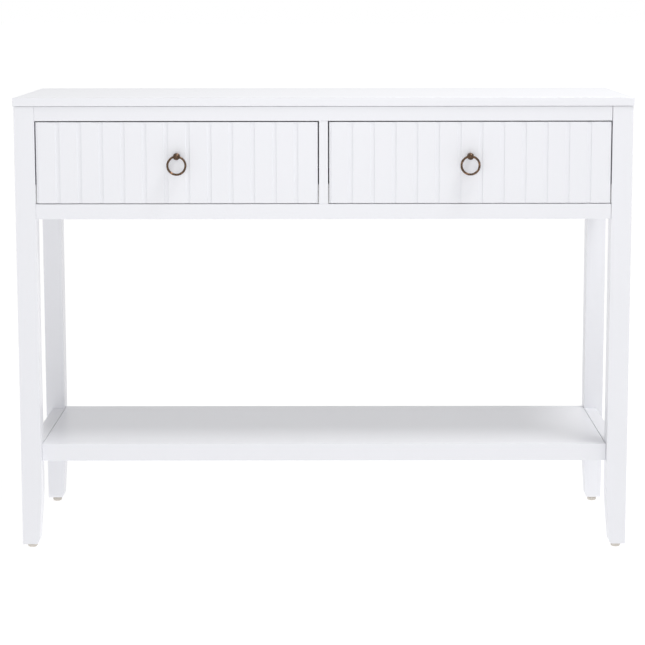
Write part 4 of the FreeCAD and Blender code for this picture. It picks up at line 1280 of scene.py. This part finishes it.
# %% Finishes of kept pieces
slots = {part["node"]: part["material_slot"] for part in frame["record"]["subparts"]}
for node, solid in frame["nodes"].items():
    if not solid.hide_render:
        solid.data.materials.clear()
        solid.data.materials.append(finishes[slots[node]])
print(sum(not solid.hide_render for solid in frame["nodes"].values()), "nodes kept from the model")

# %% [markdown]
# ## Sky
#
# White furniture is usually shown on white. The surroundings are seen, directly or as a reflection, as plain
# white, but they light the table at about half that strength, and a little more from the right.

# %% Sky
BACKDROP = 1.0
SKY = 0.52
SKY_TO_THE_RIGHT = 0.05
WHITE = (1, 1, 1, 1)

scene = bpy.context.scene
scene.view_settings.view_transform = "Standard"
world = bpy.data.worlds.new("studio")
scene.world = world
world.use_nodes = True
sky = world.node_tree


def sky_maths(operation, first, second, third=0):
    """A Math node of the sky; each of its sockets is wired or set."""
    node = sky.nodes.new("ShaderNodeMath")
    node.operation = operation
    for socket, value in zip(node.inputs, (first, second, third)):
        if isinstance(value, bpy.types.NodeSocket):
            sky.links.new(value, socket)
        else:
            socket.default_value = value
    return node.outputs[0]


towards = sky.nodes.new("ShaderNodeSeparateXYZ")
sky.links.new(sky.nodes.new("ShaderNodeTexCoord").outputs["Generated"], towards.inputs[0])
sky_light = sky.nodes["Background"]
sky_light.inputs["Color"].default_value = WHITE
brightness = sky_maths("MULTIPLY_ADD", towards.outputs["X"], SKY_TO_THE_RIGHT, SKY)
sky.links.new(brightness, sky_light.inputs["Strength"])

backdrop = sky.nodes.new("ShaderNodeBackground")
backdrop.inputs["Color"].default_value = WHITE
backdrop.inputs["Strength"].default_value = BACKDROP
light_path = sky.nodes.new("ShaderNodeLightPath")
seen = sky_maths("MAXIMUM", light_path.outputs["Is Camera Ray"], light_path.outputs["Is Glossy Ray"])
choice = sky.nodes.new("ShaderNodeMixShader")
sky.links.new(seen, choice.inputs[0])
sky.links.new(sky_light.outputs[0], choice.inputs[1])
sky.links.new(backdrop.outputs[0], choice.inputs[2])
sky.links.new(choice.outputs[0], sky.nodes["World Output"].inputs["Surface"])
print("sky:", len(sky.nodes), "nodes")

# %% [markdown]
# ## Floor
#
# The floor is a large pale disc. Most of its brightness is a glow of its own, so that it stays as white as the
# surroundings and keeps only a light trace of the table's shadow.

# %% Floor
FLOOR_RADIUS = 60
FLOOR_GLOW = 0.8
FLOOR_TONES = ((0.30, 0.30, 0.30), (0.32, 0.32, 0.32))

floor_finish = Finish("pale_floor", Roughness=0.9, Emission_Strength=FLOOR_GLOW)
floor_finish.set("Emission Color", (1, 1, 1))
floor_finish.set("Base Color", floor_finish.blend(floor_finish.noise(0.8), *FLOOR_TONES))
bpy.ops.mesh.primitive_circle_add(vertices=96, radius=FLOOR_RADIUS, fill_type="NGON", location=(0, 0, 0))
floor = bpy.context.object
floor.name = "floor"
floor.data.materials.append(floor_finish.material)
floor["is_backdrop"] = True
print("floor", 2 * FLOOR_RADIUS, "m across")

# %% [markdown]
# ## Lamps
#
# Two round lamps model the table. A broad weak one in front lifts the fronts and the shelf's edge. A smaller
# strong one hangs high on the right: it lights the top and leaves the shelf in the soft shade of the case.

# %% Lamps
# each lamp's place, what it looks at, its width and its power in watts
lamps = {
    "key": ((-0.3, -3.4, 0.85), (0, 0, 0.4), 1.6, 12),
    "overhead": ((1.0, -0.65, 3.0), (0, -0.1, 0.5), 0.9, 33),
}
for name, (place, target, width, power) in lamps.items():
    light = bpy.data.lights.new(name, "AREA")
    light.shape = "DISK"
    light.size = width
    light.energy = power
    lamp = bpy.data.objects.new(name, light)
    lamp.location = place
    lamp.rotation_euler = (Vector(target) - Vector(place)).to_track_quat("-Z", "Y").to_euler()
    scene.collection.objects.link(lamp)
print(len(lamps), "lamps")

# %% Finish
low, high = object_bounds()
